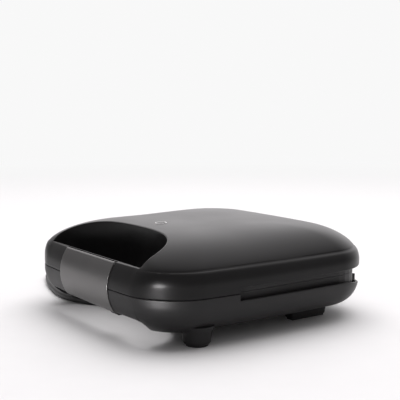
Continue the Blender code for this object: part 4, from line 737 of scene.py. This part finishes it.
def lipHeights():
    # Level at the front; at the rear a lower lip that falls evenly towards the back.
    y = columnBase[:, 1]
    slope = np.clip((y - lower["slopeStart"]) / (plan["halfDepth"] - lower["slopeStart"]), 0.0, 1.0)
    return np.where(isRear, lower["lip"] - lower["slopeDrop"] * slope, lower["foot"])


def makeLowerShell():
    # Closed rows from the lip down the bowl, along the bottom, up the opening's wall and back inside.
    opening = openingAt(0.0)
    inset, height = bowlProfile(260)
    lip = lipHeights()
    room = np.sum((columnBase - opening) * columns["outs"], axis=1)
    room[isHandle] = opening[isHandle, 1] - columnBase[isHandle, 1]
    reach = np.minimum(lower["reach"], room)
    count = lower["rows"]
    body = np.zeros((count, len(lip), 3))
    # Each column's profile is cut at the lip and at its reach, and its points are spaced evenly
    for k in range(len(lip)):
        i, z = inset[k], height[k]
        first = np.argmax(z <= lip[k] + 1e-9)
        last = len(i) - 1 if i[-1] < reach[k] else max(np.argmax(i >= reach[k]), first + 3)
        i, z = i[first:last + 1].copy(), z[first:last + 1].copy()
        z[0] = lip[k]
        i[-1] = min(i[-1], reach[k])
        body[:, k, ::2] = spaced(np.column_stack([i, z]), count)[0]
    # Where the opening is near, the rows run straight to it
    insets, heights = body[..., 0].copy(), body[..., 2].copy()
    mix = ((1.0 - ease((room - lower["tightRoom"]) / lower["tightBlend"])) * ~isHandle)[:, None]
    for row in range(count):
        line = columnBase + (opening - columnBase) * (insets[row] / np.maximum(room, 1.0))[:, None]
        body[row, :, :2] = planAt(insets[row]) * (1 - mix) + line * mix
    seat = seatProfile(lower["seatFoot"], 160)
    seat = seat[seat[:, 1] <= lower["foot"]]
    at, mark = np.linspace(0.0, 1.0, count), np.linspace(0.0, 1.0, len(seat))
    body[:, isSeat, 1] = np.interp(at, mark, seat[:, 0])[:, None]
    body[:, isSeat, 2] = np.interp(at, mark, seat[:, 1])[:, None]
    # The bottom's flat, and a soft edge up into the opening's wall
    edgeHeight = body[-1, :, 2].copy()
    edge = withHeight(opening, edgeHeight)
    bottom = lineRows(body[-1], edge, np.linspace(0.0, 1.0, 18)[1:])
    nearEdge = towards(edge, bottom[-8], lower["edgeSoft"])
    wallFoot = edge + upward * lower["edgeSoft"]
    edgeRows = fillet(nearEdge, edge, wallFoot, 6)
    bottom = clearNear(bottom, edge, np.linalg.norm(nearEdge - edge, axis=-1, keepdims=True), nearEdge)
    top = withHeight(opening, lower["foot"])
    wall = lineRows(wallFoot, top, np.linspace(0.0, 1.0, 8)[1:])
    lipSoft, lipCorner = lower["lipSoft"], body[0]
    lipDown = towards(lipCorner, body[5], lipSoft)
    bowl = clearNear(body, lipCorner, lipSoft, lipDown)[1:]
    lipIn = lipInside(insets[0], lipCorner, lipSoft, lip)
    lipRows = fillet(lipIn, lipCorner, lipDown, 5)
    # Inside: the opening's outer wall, the floor, the bowl a wall further in and the rim's flat
    innerLip = withHeight(planAt(insets[0] + plan["wall"]), lip)
    innerRows = []
    for row in range(4, count, 4):
        flat = body[row, :, :2] - columns["outs"] * plan["wall"]
        height = np.minimum(heights[row] + plan["wall"] * row / count, lip - lower["under"])
        innerRows.append(withHeight(flat, height))
    grown = openingAt(plan["openingWall"])
    floorEnd = withHeight(grown, edgeHeight + plan["wall"])
    floor = lineRows(innerRows[-1], floorEnd, np.linspace(0.0, 1.0, 6)[1:])
    outerWall = withHeight(grown, lower["foot"])
    inside = np.vstack([outerWall[None], floor[::-1], np.stack(innerRows)[::-1], innerLip[None]])
    closeHandle(inside, top, lipIn)
    rows = np.vstack([lipRows, bowl, bottom, edgeRows, wall, inside])
    return gridMesh("lower_shell", rows, materials["lowerShell"], closedAlong=True)


def stand(piece, body, slot, *nodes):
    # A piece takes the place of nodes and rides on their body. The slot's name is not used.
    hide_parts(*nodes)
    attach(piece, body)
    return piece


def makeCord():
    # The cord's line with its relief, tie and plug, and the two blades that stay from the frame.
    path, length = cordPath()
    rows = tubeRows(path, cord["radius"], cord["sides"])
    line = stand(gridMesh("mains_cord", rows, materials["cord"], capEnds=True),
                 "base", "cord_rubber", "cord_run", "cord_coil", "cord_tail")
    relief = stand(makeRelief(), "base", "cord_rubber", "strain_relief")
    end = path[-1]
    plug = stand(makePlug(end[0], end[1] + plugForm["gap"]), "base", "cord_rubber", "plug_body")
    tie = stand(makeTie(), "base", "cord_rubber", "cord_tie")
    print(f"cord laid, {length:.0f} mm long")


makeCord()
stand(makeUpperShell(), "lid", "black_plastic", "upper_cover")
lowerShell = stand(makeLowerShell(), "base", "black_plastic", "lower_cover")
print("shells made")


def extruded(name, outline, span, material, soft):
    # A side view (y, z) drawn along X through a span, with its edges rounded.
    low, high = sorted(span)
    work = bmesh.new()
    ring = [work.verts.new((low * metre, y * metre, z * metre)) for y, z in outline]
    face = work.faces.new(ring)
    grown = bmesh.ops.extrude_face_region(work, geom=[face])["geom"]
    moved = [item for item in grown if isinstance(item, bmesh.types.BMVert)]
    bmesh.ops.translate(work, verts=moved, vec=((high - low) * metre, 0, 0))
    bmesh.ops.recalc_face_normals(work, faces=work.faces)
    edges = [edge for edge in work.edges if edge.calc_face_angle(0.0) > 0.6]
    bmesh.ops.bevel(work, geom=edges, offset=soft * metre, segments=2, profile=0.5,
                    affect="EDGES", clamp_overlap=True)
    mesh = bpy.data.meshes.new(name)
    work.to_mesh(mesh)
    work.free()
    return finishMesh(name, mesh, material, 40.0)


# Feet, hinge knuckles, guards, screw wells and the cord's boss
baseParts = {
    "frontFoot": (98.0, -71.0), "rearFoot": (81.5, 58.0), "rearHalf": (5.75, 20.0),
    "bores": ((99.0, -34.0), (99.0, 84.0)), "boreRadius": 3.35, "boreTop": 22.0,
    "hinge": (116.6, 37.0), "knuckle": 2.9, "ears": ((58.0, 62.7), (69.3, 74.0)), "lug": (63.0, 69.0),
    "knuckleBack": 119.2, "earRoot": (24.0, 2.2), "lugRoot": (52.0, 0.3), "soft": 0.35, "guardSoft": 0.4,
    "guard": (81.0, 84.4), "catch": (29.0, 42.5),
    "guardOutline": ((113.6, 24.5), (116.4, 24.5), (116.4, 32.8), (113.6, 32.8)),
    "footProfile": (
        (0.0, 1.7), (9.2, 1.7), (9.9, 1.75), (10.5, 2.1), (10.9, 2.8), (11.1, 4.0), (11.4, 6.5),
        (11.8, 9.0), (12.4, 11.5), (13.2, 13.5), (14.4, 15.2), (15.0, 17.0), (0.0, 20.0),
    ),
    "rearLevels": (
        (1.7, -1.1), (1.75, -0.5), (2.1, -0.1), (2.8, 0.0),
        (8.0, 0.7), (12.0, 1.3), (15.0, 2.1), (20.0, 2.6),
    ),
    "boss": (
        (4.8, 113.3), (4.8, 118.4), (7.2, 118.4), (7.8, 118.1), (8.0, 117.4), (8.0, 112.0), (4.8, 112.0),
    ),
    "catchOutline": ((-110.8, 20.4), (-110.3, 17.6), (-105.6, 17.4), (-105.0, 20.4)),
    "wellInner": 3.3, "wellOuter": 5.2, "wellProbe": 3.7, "wellSunk": 0.5,
    "wellSeat": ((3.3, 22.9), (1.7, 23.0), (1.7, 32.6), (5.2, 32.6)),
}
boreSpots = [(side * x, y) for x, y in baseParts["bores"] for side in (-1, 1)]


def onBase(piece):
    # A piece that is moulded in one with the base cover.
    return stand(piece, "base", "black_plastic", "lower_cover")


def makeFrontFoot(side, mark):
    # A round pillar, turned about an upright line.
    x, y = baseParts["frontFoot"]
    place, profile = (side * x, y, 0.0), baseParts["footProfile"]
    return turnedPiece("front_foot_" + mark, profile, place, (0, 0, 1), materials["lowerShell"], 56)


def makeRearFoot(side, mark):
    # Long foot: rings of a superellipse whose half sizes grow towards the root.
    x, y = baseParts["rearFoot"]
    way = circle(72)
    way = np.sign(way) * np.abs(way) ** 0.30
    middle, half = np.array([side * x, y]), np.array(baseParts["rearHalf"])
    rows = [withHeight(middle + way * (half + grow), height) for height, grow in baseParts["rearLevels"]]
    return gridMesh("rear_foot_" + mark, rows, materials["lowerShell"], capEnds=True)


def knuckleOutline(way, height, foot):
    # Side view of a hinge knuckle: half a circle round the pin, with its root up or down (way 1 or -1).
    y, z = baseParts["hinge"]
    radius, back = baseParts["knuckle"], baseParts["knuckleBack"]
    arc = arcPoints((y, z), radius, -way * np.linspace(0.0, math.pi, 19))
    return [*arc, (y - radius, height), (back - foot, height), (back, z + way * abs(height - z) / 2)]


def makeHinges():
    # Two ears and a lug on each side, and a guard and two feet with them.
    ear, lug = knuckleOutline(-1, *baseParts["earRoot"]), knuckleOutline(1, *baseParts["lugRoot"])
    dark, soft = materials["lowerShell"], baseParts["soft"]
    for side, mark in ((1, "right"), (-1, "left")):
        for number, span in enumerate(baseParts["ears"]):
            onBase(extruded(f"hinge_ear_{mark}_{number + 1}", ear, side * np.array(span), dark, soft))
        span = side * np.array(baseParts["lug"])
        piece = extruded("hinge_lug_" + mark, lug, span, materials["shell"], soft)
        stand(piece, "lid", "black_plastic", "upper_cover")
        span, outline = side * np.array(baseParts["guard"]), baseParts["guardOutline"]
        onBase(extruded("rear_guard_" + mark, outline, span, dark, baseParts["guardSoft"]))
        onBase(makeFrontFoot(side, mark))
        onBase(makeRearFoot(side, mark))


def cutRound(target, places, radius, low, high):
    # Bores holes along Z through a piece, as part of its mesh.
    profile = ((0.0, low), (radius, low), (radius, high), (0.0, high))
    for number, (x, y) in enumerate(places):
        tool = turnedPiece(f"bore_{number}", profile, (x, y, 0.0), (0, 0, 1), None, 32)
        change = target.modifiers.new("bore", "BOOLEAN")
        change.object, change.operation, change.solver = tool, "DIFFERENCE", "EXACT"
        graph = bpy.context.evaluated_depsgraph_get()
        mesh = bpy.data.meshes.new_from_object(target.evaluated_get(graph))
        old = target.data
        target.modifiers.clear()
        target.data = mesh
        bpy.data.meshes.remove(old)
        bpy.data.objects.remove(tool, do_unlink=True)


def bowlAt(shell, x, y):
    # Height of the base's outer surface over a point on the table, in millimetres.
    hit, spot = shell.ray_cast(Vector((x, y, -5.0)) * metre, (0, 0, 1))[:2]
    return spot.z / metre if hit else 0.0


def makeWells(shell):
    # A tube round each bore with a seat for the screw. Its foot lies half a millimetre inside the bowl,
    # at the higher of the bowl's heights under its inner and outer wall.
    inner, outer, probe = baseParts["wellInner"], baseParts["wellOuter"], baseParts["wellProbe"]
    way = circle(32)
    for number, spot in enumerate(boreSpots):
        middle = np.array(spot)
        under = [[bowlAt(shell, *(middle + radius * out)) for out in way] for radius in (probe, outer)]
        foot = np.max(under, axis=0) + baseParts["wellSunk"]
        rows = [withHeight(middle + way * inner, foot)]
        rows += [withHeight(middle + way * radius, height) for radius, height in baseParts["wellSeat"]]
        rows.append(withHeight(middle + way * outer, foot))
        name = f"screw_well_{number + 1}"
        onBase(gridMesh(name, rows, materials["lowerShell"], closedAlong=True))
    x, _, z = reliefForm["place"]
    onBase(turnedPiece("cord_boss", baseParts["boss"], (x, 0.0, z), (0, 1, 0), materials["lowerShell"], 48))


makeHinges()
cutRound(lowerShell, boreSpots, baseParts["boreRadius"], 0.0, baseParts["boreTop"])
makeWells(lowerShell)
onBase(extruded("clip_catch", baseParts["catchOutline"], baseParts["catch"], materials["lowerShell"],
                baseParts["guardSoft"]))
print("feet, hinge and wells made")


# Swing clip
clip = {
    "half": 43.1, "flat": 41.5, "thick": 2.6, "bottom": 20.5, "roll": 2.0, "soft": 0.35,
    "frontEnd": 0.9, "backEnd": 0.2,
}


def clipLoop():
    # Side view of the clip: round front, soft lower edge, round back and the roll round the pin.
    axis, (py, pz) = plan["handleAxis"], clipPivot
    outer, roll = plan["handleRadius"], clip["roll"]
    inner, half = outer - clip["thick"], clip["thick"] / 2
    centre = outer - half
    low = math.asin((clip["bottom"] + half - axis[1]) / centre)
    high = math.asin((pz + clip["frontEnd"] - axis[1]) / outer)
    innerTop = math.asin((pz - roll - clip["backEnd"] - axis[1]) / inner)
    front = arcPoints(axis, outer, np.linspace(high, low, 60), -1.0)
    edge = arcPoints(axis, centre, np.array([low]), -1.0)[0]
    start = math.atan2(front[-1, 1] - edge[1], front[-1, 0] - edge[0])
    lip = arcPoints(edge, half, np.linspace(start, start + math.pi, 12)[1:-1])
    back = arcPoints(axis, inner, np.linspace(low, innerTop, 60), -1.0)
    toBack = math.atan2(back[-1, 1] - pz, back[-1, 0] - py)
    toFront = math.atan2(front[0, 1] - pz, front[0, 0] - py)
    turn = np.linspace(toBack, toFront if toFront > toBack else toFront + 2 * math.pi, 30)[1:-1]
    return np.vstack([front, lip, back, arcPoints(clipPivot, roll, turn)])


def makeClip():
    # The side view drawn through its width; at both ends it is drawn in along a quarter circle.
    loop = clipLoop()
    along = np.roll(loop, -1, axis=0) - np.roll(loop, 1, axis=0)
    along /= np.linalg.norm(along, axis=1, keepdims=True)
    inward = np.stack([-along[:, 1], along[:, 0]], axis=1)
    area = np.sum(loop[:, 0] * np.roll(loop[:, 1], -1) - np.roll(loop[:, 0], -1) * loop[:, 1])
    inward *= 1.0 if area > 0 else -1.0
    soft = clip["soft"]
    turn = np.linspace(0.0, math.pi / 2, 5)
    ends = [(clip["half"] - soft * (1 - math.sin(a)), soft * (1 - math.cos(a))) for a in turn]
    flat = [(x, 0.0) for x in np.linspace(-clip["flat"], clip["flat"], 30)]
    stations = [(-x, inset) for x, inset in reversed(ends)] + flat + ends
    rows = [np.column_stack([np.full(len(loop), x), loop + inward * inset]) for x, inset in stations]
    return gridMesh("swing_clip", rows, materials["clip"], capEnds=True, sharp=40.0)


stand(makeClip(), "latch", "clip_plastic", "latch_clip")


# Indicator: a lens level with the lid and a thin light ring
indicator = {"place": (0.0, -42.5), "lens": 4.4, "ring": 0.75, "rise": 0.4, "lensRise": 0.10, "depth": 1.2}


def discOnDome(name, inner, outer, rise, material):
    # A thin round patch on the lid. A ring's rise is the root of one less the sixth power of the way from
    # its middle, and a disc's is one less the tenth power of the way out.
    way = circle(72)
    middle = np.array(indicator["place"])
    rows = []
    for share in np.linspace(0.0, 1.0, 8):
        flat = middle + way * (inner + (outer - inner) * share)
        part = math.sqrt(max(0.0, 1 - abs(2 * share - 1) ** 6)) if inner > 0 else 1 - share**10
        rows.append(withHeight(flat, domeHeight(flat) + rise * part))
    for radius in (outer, inner):
        flat = middle + way * radius
        rows.append(withHeight(flat, domeHeight(flat) - indicator["depth"]))
    return gridMesh(name, rows, material, closedAlong=True)


lens = discOnDome("lens_cap", 0.0, indicator["lens"], indicator["lensRise"], materials["shell"])
stand(lens, "lid", "black_plastic", "indicator_lens")
ringOuter = indicator["lens"] + indicator["ring"]
ring = discOnDome("light_ring", indicator["lens"], ringOuter, indicator["rise"], materials["ring"])
stand(ring, "lid", "white_print", "indicator_ring")
print("clip and indicator made")

# Finishes of the frame's own nodes: by words in their names, or by whole names
finishes = (
    ("frame", (), ("lower_frame", "upper_frame")),
    ("coating", (), ("lower_grill_plate", "upper_grill_plate")),
    ("rubber", ("pad",), ()),
    ("sheet", ("screw", "pin", "clamp", "reflector"), ()),
    ("heater", (), ("lower_heater", "upper_heater")),
    ("cord", ("lead", "cord"), ("strain_relief", "plug_body")),
    ("brass", (), ("plug_blade_left", "plug_blade_right", "thermal_fuse")),
    ("ceramic", (), ("terminal_block", "thermostat")),
    ("lamp", (), ("indicator_lamp",)),
    ("ring", (), ("indicator_ring",)),
    ("lens", (), ("indicator_lens",)),
)


def dress():
    # Every slot of a node takes its finish; the last row that fits a name counts.
    for finish, words, names in finishes:
        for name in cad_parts:
            if name in names or any(word in name for word in words):
                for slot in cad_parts[name].material_slots:
                    slot.material = materials[finish]


dress()


# Studio
studio = {
    "towards": (-0.50, 0.62, 0.68), "cosines": (0.40, 0.97), "levels": (0.35, 1.52),
    "floorHalf": 8.0, "floorTone": 0.715, "floorGrain": 0.01, "fade": (0.55, 1.9),
    "white": 0.94, "tint": (1.0, 0.975, 0.988),
}


def mixShaders(tree, first, second, target):
    # The surface is the first shader where the mix's share is 0 and the second where it is 1.
    mix = newNode(tree, "MixShader")
    join(first, 0, mix, 1)
    join(second, 0, mix, 2)
    join(mix, "Shader", tree.nodes[target], "Surface")
    return mix


def makeFloor():
    # Pale paper that turns white far from the grill, so that no horizon shows.
    mesh = bpy.data.meshes.new("floor")
    half, tone = studio["floorHalf"], studio["floorTone"]
    corners = [(-half, -half, 0), (half, -half, 0), (half, half, 0), (-half, half, 0)]
    mesh.from_pydata(corners, [], [(0, 1, 2, 3)])
    floor = addObject("floor", mesh)
    material, tree, shader, coords = newMaterial("floor_paper")
    grain = noiseNode(tree, coords, 40.0, 3.0)
    addTones(tree, grain, shader, (tone,) * 3, (tone + studio["floorGrain"],) * 3)
    setInputs(shader, {"Roughness": 0.8, "Specular IOR Level": 0.1})
    length = newNode(tree, "VectorMath")
    length.operation = "LENGTH"
    join(coords, "Object", length, 0)
    glow = newNode(tree, "Emission", {"Color": (studio["white"],) * 3 + (1.0,)})
    mix = mixShaders(tree, shader, glow, "Material Output")
    addRange(tree, length, "Value", mix, "Fac", studio["fade"], (0.0, 1.0), "SMOOTHSTEP")
    mesh.materials.append(material)


def makeWorld():
    # Soft light from all round that grows smoothly, by the cosine of the angle to one direction, up and
    # behind the grill as from a pale wall. Where the world itself is seen it is white.
    world = bpy.data.worlds.new("studio")
    bpy.context.scene.world = world
    world.use_nodes = True
    tree = world.node_tree
    back = tree.nodes["Background"]
    setInputs(back, {"Color": (*studio["tint"], 1)})
    cosine = newNode(tree, "VectorMath")
    cosine.operation = "DOT_PRODUCT"
    setInputs(cosine, {1: Vector(studio["towards"]).normalized()})
    join(newNode(tree, "TexCoord"), "Generated", cosine, 0)
    addRange(tree, cosine, "Value", back, "Strength", studio["cosines"], studio["levels"], "SMOOTHSTEP")
    seen = newNode(tree, "Background", {"Color": (1, 1, 1, 1), "Strength": studio["white"]})
    mix = mixShaders(tree, back, seen, "World Output")
    join(newNode(tree, "LightPath"), "Is Camera Ray", mix, "Fac")


def addLamp(name, place, target, size, power, glossy=True, diffuse=True, spread=180.0):
    # A flat rectangular lamp, in metres and watts, that faces its target and isn't seen itself.
    data = bpy.data.lights.new(name, "AREA")
    data.shape = "RECTANGLE"
    data.size, data.size_y = size
    data.energy = power
    data.color = studio["tint"]
    data.spread = math.radians(spread)
    lamp = addObject(name, data)
    lamp.visible_camera, lamp.visible_glossy, lamp.visible_diffuse = False, glossy, diffuse
    lamp.location = place
    lamp.rotation_mode = "QUATERNION"
    lamp.rotation_quaternion = (Vector(target) - Vector(place)).to_track_quat("-Z", "Y")


makeFloor()
makeWorld()
addLamp("top_light", (-0.3, 0.3, 1.7), (0, 0, 0), (2.2, 2.2), 33.0, glossy=False)
# A narrow beam, which only gives the front right corner its light spot
addLamp("corner_light", (0.142, -0.209, 0.039), (0.092, -0.09, 0.041), (0.12, 0.026), 0.020,
        diffuse=False, spread=15.0)
bpy.context.scene.view_settings.view_transform = "Standard"
print("studio made")
